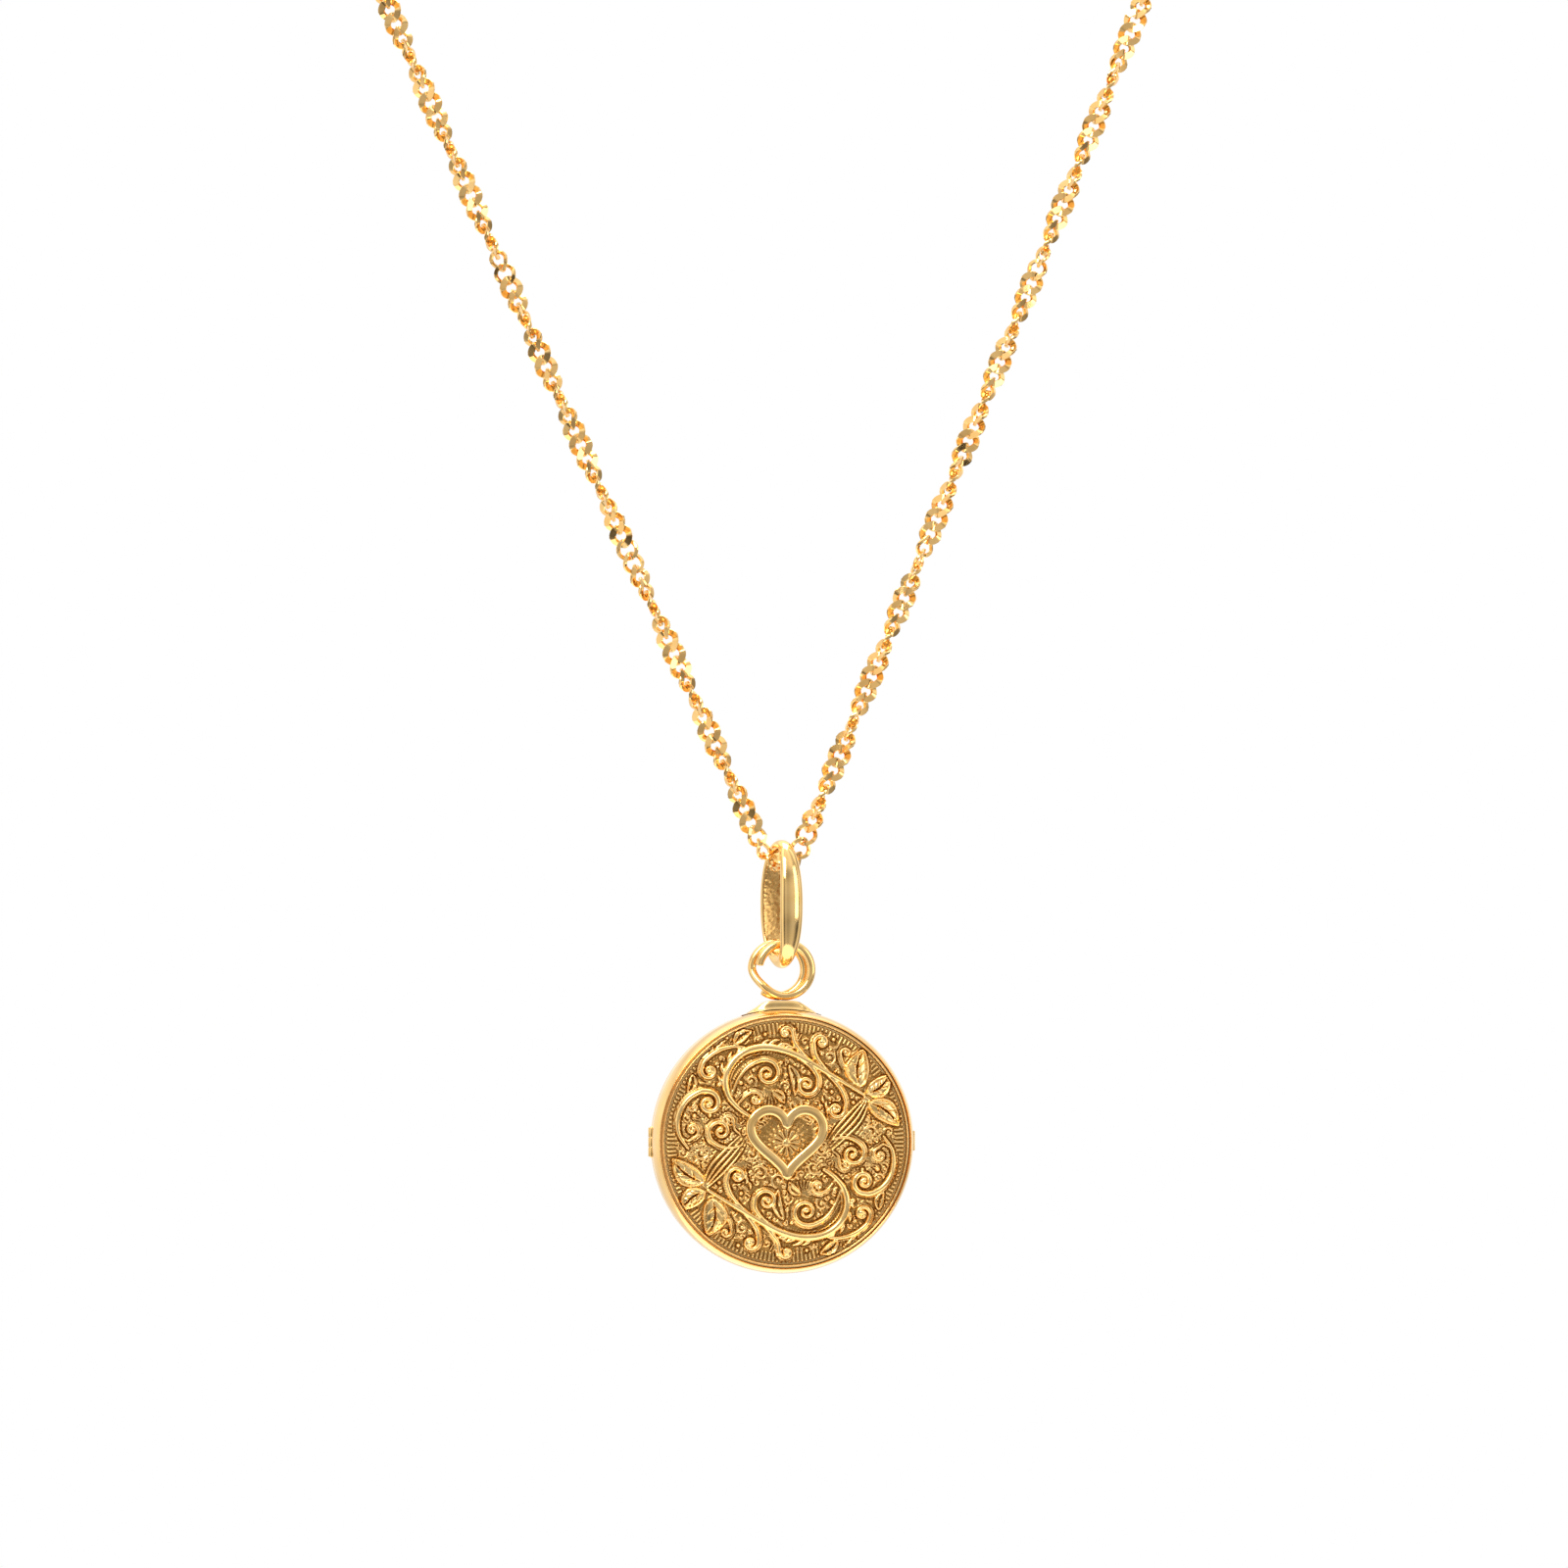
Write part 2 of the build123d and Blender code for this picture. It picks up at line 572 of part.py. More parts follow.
def link_at(k):
    """Link number k, counted from the lowest one, positive to the right."""
    x, z, tangent_x, tangent_z = chain_at(k * LINK_PITCH)
    turn = math.radians(band_turn(k * LINK_PITCH))
    tangent = Vector(tangent_x, 0, tangent_z)
    normal = Vector(-tangent_z, 0, tangent_x)
    wide = normal * math.cos(turn) + tangent.cross(normal) * math.sin(turn)
    plane = Plane(origin=(x, CHAIN_Y, z), x_dir=tangent, z_dir=tangent.cross(wide))
    return link.moved(plane.location)


def segment(first, last):
    return Compound(children=[link_at(k) for k in range(first, last + 1)])


save("chain_links_centre", segment(-CENTRE_LINKS, CENTRE_LINKS))
for i, level in enumerate(("lower", "middle", "upper")):
    nearest = CENTRE_LINKS + i * SEGMENT_LINKS + 1
    farthest = CENTRE_LINKS + (i + 1) * SEGMENT_LINKS
    save(f"chain_left_{level}", segment(-farthest, -nearest))
    save(f"chain_right_{level}", segment(nearest, farthest))

# ------------------------------------------------------------------- end eyes
# A small lug for the last link under a round eye for the rest of the necklace.
LAST_LINK = CENTRE_LINKS + 3 * SEGMENT_LINKS
EYE_R, EYE_HOLE_R = 1.35, 0.85
LUG_R, LUG_HOLE_R = 0.72, 0.42
EYE_T = 0.50
HOLE_SPACING = 0.36         # metal between the two holes
NECK_WIDTH, NECK_LENGTH = 0.9, 1.2
LINK_CLEARANCE = 0.02


def cross_cylinder(x, z, radius, length):
    """Cylinder along Y, centred on the chain's plane."""
    return Pos(x, CHAIN_Y, z) * Rot(90, 0, 0) * Cylinder(radius, length)


def end_eye(sign):
    """Eye at the top of one run; sign is -1 left, +1 right."""
    lug_distance = (LAST_LINK * LINK_PITCH + LINK_HALF_LENGTH - CHAIN_WIRE / 2
                    - LINK_CLEARANCE + LUG_HOLE_R)
    eye_distance = lug_distance + LUG_HOLE_R + EYE_HOLE_R + HOLE_SPACING
    lug_x, lug_z = chain_at(sign * lug_distance)[:2]
    eye_x, eye_z = chain_at(sign * eye_distance)[:2]
    eye = cross_cylinder(lug_x, lug_z, LUG_R, EYE_T) + cross_cylinder(eye_x, eye_z, EYE_R, EYE_T)
    lean = math.degrees(math.atan2(eye_x - lug_x, eye_z - lug_z))
    neck_at = Pos((lug_x + eye_x) / 2, CHAIN_Y, (lug_z + eye_z) / 2) * Rot(0, lean, 0)
    eye = eye + neck_at * Box(NECK_WIDTH, EYE_T, NECK_LENGTH)
    eye = eye - cross_cylinder(lug_x, lug_z, LUG_HOLE_R, EYE_T + 1)
    return eye - cross_cylinder(eye_x, eye_z, EYE_HOLE_R, EYE_T + 1)


save("chain_end_eye_left", end_eye(-1))
save("chain_end_eye_right", end_eye(1))
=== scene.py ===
"""Round gold locket on a link chain, with a hinged case, picture frames, ring and bail.

The case is turned about the Y axis: its plain back lies at y = 0 and its decorated front
faces -Y. Z is up and the hinge is on the -X side. Lengths are in mm unless noted.
"""
import math
import bpy
import numpy as np
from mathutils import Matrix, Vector


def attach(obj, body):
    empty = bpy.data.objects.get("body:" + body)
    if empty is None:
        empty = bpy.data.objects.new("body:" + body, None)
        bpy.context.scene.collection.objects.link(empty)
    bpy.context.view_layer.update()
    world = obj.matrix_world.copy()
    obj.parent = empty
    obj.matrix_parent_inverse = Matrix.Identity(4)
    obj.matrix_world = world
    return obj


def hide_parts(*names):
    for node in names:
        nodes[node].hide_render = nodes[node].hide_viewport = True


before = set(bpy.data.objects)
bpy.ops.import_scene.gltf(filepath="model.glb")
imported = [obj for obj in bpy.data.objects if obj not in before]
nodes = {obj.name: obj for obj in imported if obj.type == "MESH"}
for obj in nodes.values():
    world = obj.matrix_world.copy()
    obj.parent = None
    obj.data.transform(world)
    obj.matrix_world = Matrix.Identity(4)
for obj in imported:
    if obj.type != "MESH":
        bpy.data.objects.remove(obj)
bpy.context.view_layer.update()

MM = 0.001          # metres per mm
TAU = 2 * math.pi
rng = np.random.default_rng(7)

# case
Y_PART = -2.15      # plane where the covers meet
BACK_EDGE_Y, FRONT_EDGE_Y = Y_PART + 0.02, Y_PART - 0.02
CASE_R, CASE_INNER_R = 8.96, 8.55
BACK_FLOOR_Y, FRONT_FLOOR_Y = -0.50, -3.60      # inner faces of the covers
CASE_SEGMENTS = 288

# hinge
HINGE_X = -8.90
KNUCKLE_R, PIN_R, KNUCKLE_BORE_R = 0.25, 0.12, 0.138
KNUCKLE_H, KNUCKLE_GAP = 0.64, 0.025
KNUCKLE_PITCH = KNUCKLE_H + KNUCKLE_GAP
HINGE_H = 3 * KNUCKLE_H + 2 * KNUCKLE_GAP

# split ring, of two turns
RING_Z, RING_R, RING_WIRE = 11.68, 1.80, 0.58
RING_SPREAD, RING_PITCH = 0.40, 0.62            # shift between the turns in x and in y

# bail
BAIL_TOP, BAIL_BOTTOM, BAIL_HALF = 20.50, 11.76, 2.27
BAIL_THICK, BAIL_FOOT = 0.74, 1.12              # metal thickness, and at the foot
BAIL_WIDE, BAIL_WIDE_END = 1.60, 0.96           # width at mid height and at the ends
BAIL_YAW = 13.0                                 # degrees

# chain
LINK_PITCH, LINK_HALF_LENGTH, LINK_HALF_WIDTH, CHAIN_WIRE = 0.97, 0.645, 0.625, 0.30
TURN_R, TURN_Z = 1.20, 19.91                    # bend where the chain passes the bail
LINKS_PER_SEGMENT = 22
CENTRE_LINKS = 2                                # centre links on each side of the lowest one


# ----------------------------------------------------------------------------
# mesh helpers: a mesh is a pair (vertices in mm, faces)
# ----------------------------------------------------------------------------
def outwards(verts, faces):
    """Flip all faces if the closed mesh's signed volume is negative."""
    verts = np.asarray(verts, float)
    volume = 0.0
    for face in faces:
        first = verts[face[0]]
        for i in range(1, len(face) - 1):
            volume += float(np.dot(first, np.cross(verts[face[i]], verts[face[i + 1]])))
    return faces if volume > 0 else [tuple(reversed(face)) for face in faces]


def mesh_object(name, mesh):
    """Object in the scene from a closed mesh."""
    verts, faces = mesh
    data = bpy.data.meshes.new(name)
    data.from_pydata((np.asarray(verts, float) * MM).tolist(), [],
                     [list(map(int, face)) for face in outwards(verts, faces)])
    data.update()
    ob = bpy.data.objects.new(name, data)
    bpy.context.scene.collection.objects.link(ob)
    return ob


def shade(data, angle=35.0):
    """Smooth shading with sharp edges above an angle in degrees."""
    data.polygons.foreach_set("use_smooth", [True] * len(data.polygons))
    data.set_sharp_from_angle(angle=math.radians(angle))


def build(name, mesh, material, body, replaced, angle=35.0, lift=None):
    """Finished piece that rides on a body; lift is 1 on raised metal and 0 in recesses, where the
    material may paint shade.
    """
    ob = mesh_object(name, mesh)
    ob.data.validate()
    ob.data.update()
    shade(ob.data, angle)
    if lift is not None:
        attribute = ob.data.attributes.new("lift", "FLOAT", "POINT")
        attribute.data.foreach_set("value", np.asarray(lift, float))
    ob.data.materials.append(material)
    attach(ob, body)
    if replaced:
        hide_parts(replaced)
    return ob


def cut(ob, mesh):
    """Cut a small closed mesh out of an object."""
    cutter = mesh_object("cutter", mesh)
    modifier = ob.modifiers.new("cut", "BOOLEAN")
    modifier.operation = "DIFFERENCE"
    modifier.object = cutter
    modifier.solver = "EXACT"
    bpy.context.view_layer.update()
    evaluated = ob.evaluated_get(bpy.context.evaluated_depsgraph_get())
    result = bpy.data.meshes.new_from_object(evaluated)
    ob.modifiers.clear()
    old = ob.data
    ob.data = result
    bpy.data.meshes.remove(old)
    bpy.data.objects.remove(cutter)
    shade(result)


def bridge(a, b):
    """Faces between two closed rings of vertices; either may be a single pole."""
    na, nb = len(a), len(b)
    if na == 1:
        return [(a[0], b[(i + 1) % nb], b[i]) for i in range(nb)]
    if nb == 1:
        return [(a[i], a[(i + 1) % na], b[0]) for i in range(na)]
    if na == nb:
        return [(a[i], a[(i + 1) % na], b[(i + 1) % na], b[i]) for i in range(na)]
    faces = []
    repeats = math.gcd(na, nb)
    part_a, part_b = na // repeats, nb // repeats
    for k in range(repeats):
        i, j = 0, 0
        while i < part_a or j < part_b:
            here_a, here_b = a[(k * part_a + i) % na], b[(k * part_b + j) % nb]
            if j >= part_b or (i < part_a and (i + 1) / part_a <= (j + 1) / part_b):
                faces.append((here_a, a[(k * part_a + i + 1) % na], here_b))
                i += 1
            else:
                faces.append((here_a, b[(k * part_b + j + 1) % nb], here_b))
                j += 1
    return faces


def lathe(profile, count, closed=False):
    """Revolve (radius, y) points about the Y axis; points of radius 0 become poles."""
    verts, rings = [], []
    angles = np.arange(count) * TAU / count
    for radius, y in profile:
        start = len(verts)
        if radius < 1e-9:
            verts.append((0.0, y, 0.0))
        else:
            verts += [(radius * math.cos(a), y, radius * math.sin(a)) for a in angles]
        rings.append(range(start, len(verts)))
    following = rings[1:] + (rings[:1] if closed else [])
    faces = []
    for ring, after in zip(rings, following):
        faces += bridge(ring, after)
    return np.array(verts), faces


def loft(rings, closed=True):
    """Skin a stack of equal rings (n, m, 3); an open stack is capped."""
    count, size = rings.shape[:2]
    index = np.arange(count * size).reshape(count, size)
    faces = []
    for i in range(count if closed else count - 1):
        faces += bridge(index[i], index[(i + 1) % count])
    if not closed:
        faces += [index[0][::-1], index[-1]]
    return rings.reshape(-1, 3), faces


def sweep(centre, side, up, section, closed=True):
    """Sweep a section (m, 2), or one per station (n, m, 2), along centre (n, 3)."""
    rings = centre[:, None] + side[:, None] * section[..., :1] + up[:, None] * section[..., 1:]
    return loft(rings, closed)


def join(meshes):
    """One mesh from several closed ones, each turned outwards."""
    all_verts, all_faces, offset = [], [], 0
    for verts, faces in meshes:
        all_verts.append(np.asarray(verts, float))
        all_faces += [tuple(i + offset for i in face) for face in outwards(verts, faces)]
        offset += len(verts)
    return np.concatenate(all_verts), all_faces


def smooth(points, steps):
    """Catmull-Rom curve through the points, ends kept."""
    p = np.asarray(points, float)
    padded = np.array([p[0], *p, p[-1]])
    curve = []
    for p0, p1, p2, p3 in zip(padded, padded[1:], padded[2:], padded[3:]):
        for t in np.linspace(0, 1, steps, endpoint=False):
            curve.append(0.5 * ((2 * p1) + (p2 - p0) * t
                                + (2 * p0 - 5 * p1 + 4 * p2 - p3) * t * t
                                + (3 * p1 - p0 - 3 * p2 + p3) * t ** 3))
    curve.append(p[-1])
    return np.array(curve)


def fillet(a, b, c, size, count):
    """Points rounding corner b between a and c."""
    a, b, c = (np.array(p, float) for p in (a, b, c))
    start = b + (a - b) / np.linalg.norm(a - b) * size
    end = b + (c - b) / np.linalg.norm(c - b) * size
    return [(1 - t) ** 2 * start + 2 * t * (1 - t) * b + t * t * end
            for t in np.linspace(0, 1, count)]


def run_length(points):
    """Distance travelled along a polyline at each of its points."""
    return np.r_[0, np.cumsum(np.hypot(*np.diff(points, axis=0).T))]


def unit_circle(count):
    a = np.arange(count) * TAU / count
    return np.stack([np.cos(a), np.sin(a)], 1)


def rod(x, y, z0, z1, radius, count=48):
    """Upright cylinder."""
    xy = (x, y) + radius * unit_circle(count)
    return loft(np.stack([np.c_[xy, np.full(count, z)] for z in (z0, z1)]), closed=False)


def block(x_range, y_range, z_range):
    verts = [(x, y, z) for x in x_range for y in y_range for z in z_range]
    faces = [(0, 1, 3, 2), (4, 6, 7, 5), (0, 4, 5, 1), (2, 3, 7, 6), (0, 2, 6, 4), (1, 5, 7, 3)]
    return np.array(verts), faces


# ----------------------------------------------------------------------------
# materials
# ----------------------------------------------------------------------------
# Mix node sockets by data type: input A, input B, result
MIX_SOCKETS = {"FLOAT": (2, 3, 0), "RGBA": (6, 7, 2)}


class Shader:
    """Adds nodes to one tree; each input gets a value or the socket that drives it."""

    def __init__(self, owner):
        owner.use_nodes = True
        self.tree = owner.node_tree

    def fill(self, node, inputs):
        for key, value in inputs.items():
            if isinstance(value, bpy.types.NodeSocket):
                self.tree.links.new(value, node.inputs[key])
            else:
                node.inputs[key].default_value = value

    def add(self, kind, inputs=None, **settings):
        node = self.tree.nodes.new("ShaderNode" + kind)
        for key, value in settings.items():
            setattr(node, key, value)
        self.fill(node, inputs or {})
        return node

    def surface(self, inputs):
        self.fill(self.tree.nodes["Principled BSDF"], inputs)

    def ramp(self, factor, stops, interpolation="LINEAR"):
        """Colour ramp; stops are (position, grey or rgb)."""
        node = self.add("ValToRGB", {"Fac": factor})
        node.color_ramp.interpolation = interpolation
        elements = node.color_ramp.elements
        while len(elements) < len(stops):
            elements.new(0.5)
        for element, (position, color) in zip(elements, stops):
            element.position = position
            element.color = (*((color,) * 3 if np.isscalar(color) else color), 1)
        return node.outputs["Color"]

    def noise(self, scale, detail=4.0, rough=0.55, stretch=None):
        vector = self.add("TexCoord").outputs["Object"]
        if stretch:
            vector = self.add("Mapping", {"Scale": stretch, "Vector": vector}).outputs["Vector"]
        return self.add("TexNoise", {"Scale": scale, "Detail": detail, "Roughness": rough,
                                     "Vector": vector}).outputs["Fac"]

    def bump(self, height, strength, distance=1e-5, below=None):
        """Bump on top of an earlier normal; distance in metres."""
        inputs = {"Strength": strength, "Distance": distance, "Height": height}
        if below is not None:
            inputs["Normal"] = below
        return self.add("Bump", inputs).outputs["Normal"]

    def mix(self, data_type, factor, a, b):
        in_a, in_b, result = MIX_SOCKETS[data_type]
        node = self.add("Mix", {"Factor": factor, in_a: a, in_b: b}, data_type=data_type)
        return node.outputs[result]


def new_material(name):
    material = bpy.data.materials.new(name)
    return material, Shader(material)


def gold(name, light=(1.0, 0.685, 0.295), deep=(0.97, 0.61, 0.22), rough=(0.06, 0.16),
         scratch=0.08, grain=0.0, grain_scale=9000, painted_recess_shade=False):
    """Gold between two tones and two roughnesses, with fine crossed scratches, and if asked,
    painted shade in the recesses.
    """
    material, shader = new_material(name)
    color = shader.ramp(shader.noise(scale=650, detail=3), [(0.30, deep), (0.70, light)])
    roughness = shader.ramp(shader.noise(scale=2600, detail=5),
                            [(0.35, rough[0]), (0.72, rough[1])])
    if painted_recess_shade:
        # painted shade: where the lift attribute is 0, in recesses, the colour is pulled to dark
        # brown; these places are also made rougher
        lift = shader.add("Attribute", attribute_name="lift").outputs["Fac"]
        color = shader.mix("RGBA", lift, (0.36, 0.185, 0.045, 1), color)
        roughness = shader.mix("FLOAT", lift, 0.42, roughness)
    normal = shader.bump(shader.noise(scale=1400, detail=2, rough=0.4), strength=0.25)
    for stretch in ((1, 6, 30), (28, 5, 1)):
        height = shader.noise(scale=2200, detail=6, rough=0.7, stretch=stretch)
        normal = shader.bump(height, strength=scratch, below=normal)
    if grain:
        height = shader.noise(scale=grain_scale, detail=5, rough=0.7)
        normal = shader.bump(height, strength=grain, distance=2e-5, below=normal)
    shader.surface({"Base Color": color, "Roughness": roughness, "Metallic": 1.0,
                    "Normal": normal})
    return material


def card_material():
    """Pale fibrous card."""
    material, shader = new_material("picture_card")
    fibre = shader.noise(scale=5200, detail=8, rough=0.75, stretch=(1, 1, 3))
    shader.surface({
        "Base Color": shader.ramp(fibre, [(0.3, (0.80, 0.755, 0.66)), (0.7, (0.90, 0.865, 0.78))]),
        "Roughness": shader.ramp(shader.noise(scale=900), [(0.3, 0.62), (0.7, 0.82)]),
        "Normal": shader.bump(fibre, strength=0.35, distance=2e-5)})
    return material


def window_material():
    """Clear plastic that lets most light through to what lies below."""
    material, shader = new_material("clear_window")
    shader.surface({
        "Roughness": shader.ramp(shader.noise(scale=1200, detail=5), [(0.35, 0.02), (0.75, 0.09)]),
        "Base Color": (0.97, 0.985, 0.98, 1),
        "Transmission Weight": 1.0,
        "IOR": 1.49,
        "Normal": shader.bump(shader.noise(scale=600, detail=3), strength=0.08)})
    # alpha is 1, less 0.92 for shadow rays
    shadow = shader.add("LightPath").outputs["Is Shadow Ray"]
    alpha = shader.add("Math", {0: shadow, 1: -0.92, 2: 1.0}, operation="MULTIPLY_ADD")
    shader.surface({"Alpha": alpha.outputs[0]})
    return material


GOLD = gold("gold_polished")
# the engraved plate and the bail get painted shade in their recesses
GOLD_PLATE = gold("gold_engraved", rough=(0.10, 0.20), grain=0.18, grain_scale=14000,
                  painted_recess_shade=True)
GOLD_INNER = gold("gold_inner_satin", light=(0.97, 0.76, 0.45), deep=(0.88, 0.62, 0.31),
                  rough=(0.26, 0.40), scratch=0.3, grain=0.3)
GOLD_BAIL = gold("gold_bail_cavity", rough=(0.07, 0.16), painted_recess_shade=True)
GOLD_CHAIN = gold("gold_chain_cut", light=(1.0, 0.67, 0.28), deep=(0.96, 0.58, 0.20),
                  rough=(0.05, 0.14), scratch=0.06)
CARD = card_material()
WINDOW = window_material()

# ----------------------------------------------------------------------------
# case covers; every profile is a list of (radius, y)
# ----------------------------------------------------------------------------
BACK_WALL = [(7.35, -0.01), (7.85, -0.10), (8.28, -0.33), (8.56, -0.62), (8.72, -0.95),
             (8.86, -1.33), (8.93, -1.66), (8.955, -1.95)]
FRONT_WALL = [(8.955, -2.35), (8.965, -2.75), (8.945, -3.02), (8.90, -3.30), (8.855, -3.53),
              (8.80, -3.74), (8.745, -3.90), (8.69, -4.03)]
OUTER_WALL = np.array([*BACK_WALL, (CASE_R, BACK_EDGE_Y), (CASE_R, FRONT_EDGE_Y),
                       *FRONT_WALL[1:]])


def wall_radius(y):
    """Outer radius of the case wall at depth y."""
    return float(np.interp(-y, -OUTER_WALL[:, 1], OUTER_WALL[:, 0]))


def parting_edge(edge_y, wall_point, inner_y):
    """Rounded edge from the outer wall across the parting face to the inner wall."""
    corner = (CASE_INNER_R, edge_y)
    return [*fillet(wall_point, (CASE_R, edge_y), (8.60, edge_y), size=0.05, count=5),
            (8.62, edge_y),
            *fillet((8.62, edge_y), corner, (CASE_INNER_R, inner_y), size=0.03, count=4)]


def cover(side, profile, y_sign, leaf_heights):
    """Cover shell, cut for the knuckles and for the hinge leaves on its side of the parting."""
    shell = build(f"{side}_cover_shell", lathe(profile, CASE_SEGMENTS), GOLD,
                  f"locket_{side}", f"{side}_cover")
    half = HINGE_H / 2 + 0.03
    cut(shell, rod(HINGE_X, Y_PART, -half, half, KNUCKLE_R + 0.04))
    y_range = sorted(Y_PART + y_sign * offset for offset in (0.10, 0.80))
    for z in leaf_heights:
        cut(shell, block((-9.3, -8.47), y_range, (z - KNUCKLE_H / 2, z + KNUCKLE_H / 2)))


BACK_PROFILE = [
    *((radius, 0.0) for radius in (0, 2.0, 4.0, 6.2, 7.10)),
    *smooth(BACK_WALL, 5),
    *parting_edge(BACK_EDGE_Y, BACK_WALL[-1], -1.9),
    *smooth([(CASE_INNER_R, -1.75), (8.50, -1.45), (8.36, -1.15), (8.22, -0.90),
             (8.06, -0.72)], 4),
    *((radius, BACK_FLOOR_Y) for radius in (7.57, 4.0, 0))]
FRONT_PROFILE = [
    # floor under the decorated plate
    (0, -4.30), (2.1, -4.265), (4.2, -4.18), (6.2, -4.06), (8.42, -3.905), (8.46, -3.90),
    (8.51, -3.905), (8.535, -3.935), (8.565, -4.03),
    # rolled rim
    *smooth([(8.57, -4.045), (8.592, -4.09), (8.63, -4.11), (8.665, -4.085), (8.69, -4.03)], 4),
    *smooth(FRONT_WALL, 5)[::-1][1:],
    *parting_edge(FRONT_EDGE_Y, FRONT_WALL[0], -2.3),
    (CASE_INNER_R, -2.80),
    *smooth([(CASE_INNER_R, -2.80), (8.46, -3.05), (8.30, -3.24), (8.06, -3.38)], 4),
    *((radius, FRONT_FLOOR_Y) for radius in (7.57, 4.0, 0))]
cover("back", BACK_PROFILE, 1, (0.0,))
cover("front", FRONT_PROFILE, -1, (KNUCKLE_PITCH, -KNUCKLE_PITCH))


# ----------------------------------------------------------------------------
# hinge: three tubes, their leaves let into the walls, and the pin
# ----------------------------------------------------------------------------
def on_hinge_axis(mesh):
    """Stand a lathed mesh upright on the hinge axis."""
    verts, faces = mesh
    x, y, z = verts.T
    return np.stack([x + HINGE_X, z + Y_PART, y], 1), faces


def knuckle_tube(z, bore, edge=0.025):
    z0, z1 = z - KNUCKLE_H / 2, z + KNUCKLE_H / 2
    profile = [(bore, z0 + edge / 2), (bore + edge / 2, z0), (KNUCKLE_R - edge, z0),
               (KNUCKLE_R - edge * 0.3, z0 + edge * 0.3), (KNUCKLE_R, z0 + edge),
               (KNUCKLE_R, z1 - edge), (KNUCKLE_R - edge * 0.3, z1 - edge * 0.3),
               (KNUCKLE_R - edge, z1), (bore + edge / 2, z1), (bore, z1 - edge / 2)]
    return on_hinge_axis(lathe(profile, 48, closed=True))


def leaf_plate(y_sign, z_mid, n=7):
    """Curved plate that fills a leaf slot in the case wall."""
    half = KNUCKLE_H / 2 - 0.008
    places = [(y, z) for y in np.linspace(Y_PART + y_sign * 0.16, Y_PART + y_sign * 0.79, n)
              for z in np.linspace(z_mid - half, z_mid + half, n)]
    verts = [(-math.sqrt((wall_radius(y) + 0.004) ** 2 - z * z), y, z) for y, z in places]
    verts += [(-math.sqrt((CASE_INNER_R + 0.02) ** 2 - z * z), y, z) for y, z in places]
    under = n * n
    faces = []
    for i in range(n - 1):
        for j in range(n - 1):
            a = i * n + j
            b, c, d = a + 1, a + n + 1, a + n
            faces += [(a, b, c, d), (under + d, under + c, under + b, under + a)]
    for i in range(n - 1):
        last = (n - 1) * n + i
        # each border edge, joined to the same edge of the underside
        for a, b in ((i, i + 1), (last + 1, last), ((i + 1) * n, i * n),
                     (i * n + n - 1, (i + 1) * n + n - 1)):
            faces.append((a, under + a, under + b, b))
    return np.array(verts), faces


# name, centre height, side of the parting plane in y, bore radius, body
KNUCKLES = (("hinge_knuckle_back", 0.0, 1, PIN_R + 0.002, "locket_back"),
            ("hinge_knuckle_front_upper", KNUCKLE_PITCH, -1, KNUCKLE_BORE_R, "locket_front"),
            ("hinge_knuckle_front_lower", -KNUCKLE_PITCH, -1, KNUCKLE_BORE_R, "locket_front"))
for name, z, y_sign, bore, body in KNUCKLES:
    build(name + "_tube", join([knuckle_tube(z, bore), leaf_plate(y_sign, z)]), GOLD, body,
          name, angle=40)


def hinge_pin():
    end = HINGE_H / 2 + 0.08
    # radius and distance in from the end of the pin
    tip = [(0, 0), (PIN_R - 0.05, 0), (PIN_R - 0.015, 0.015), (PIN_R, 0.05)]
    profile = [(r, inset - end) for r, inset in tip] + [(r, end - inset) for r, inset in tip[::-1]]
    return on_hinge_axis(lathe(profile, 32))


build("hinge_pin_rod", hinge_pin(), GOLD, "locket_back", "hinge_pin", angle=50)


def closing_lip():
    """Inner band with a rounded leading edge, open at the hinge, drilled for the catch bead."""
    profile = [(8.20, -1.55), (8.54, -1.56), (8.55, -1.80), (8.55, -2.01), (8.49, -2.02),
               (8.49, -2.54), (8.48, -2.59), (8.455, -2.635), (8.41, -2.667), (8.24, -2.67),
               (8.21, -2.66), (8.20, -2.64)]
    lip = build("closing_lip_band", lathe(profile, CASE_SEGMENTS, closed=True), GOLD_INNER,
                "locket_back", "closing_lip", angle=32)
    cut(lip, block((-8.75, -8.05), (-3.4, -1.0), (-1.085, 1.085)))
    # the hole runs along X
    verts, faces = lathe([(0, 7.9), (0.172, 7.9), (0.172, 8.9), (0, 8.9)], 40)
    x, y, z = verts.T
    cut(lip, (np.stack([y, x + FRONT_EDGE_Y - 0.26, z], 1), faces))


closing_lip()

# ----------------------------------------------------------------------------
# decorated plate: a scroll-and-leaf relief drawn as height strokes on a square grid
# ----------------------------------------------------------------------------
RELIEF_CELLS, RELIEF_HALF = 1180, 8.5
CELL = 2 * RELIEF_HALF / (RELIEF_CELLS - 1)
COARSE = 5              # step of the coarse grid used to look for empty places
GROW = 1.055            # scale of the whole drawing
MOTIF_GAIN, FILL_GAIN = (1.55, 1.38), (1.12, 0.80)      # factors on stroke width and height
axis = np.linspace(-RELIEF_HALF, RELIEF_HALF, RELIEF_CELLS)
grid_x, grid_z = np.meshgrid(axis, axis)
grid_r = np.hypot(grid_x, grid_z)
relief = np.zeros((RELIEF_CELLS, RELIEF_CELLS))         # height, indexed [z, x]


def bead(u):
    """Round section of a stroke."""
    return np.sqrt(np.clip(1 - u * u, 0, 1))


def soft(u):
    """Section with softly fading sides."""
    c = np.clip(1 - u * u, 0, 1)
    return c * c * (3 - 2 * c) ** 0.5


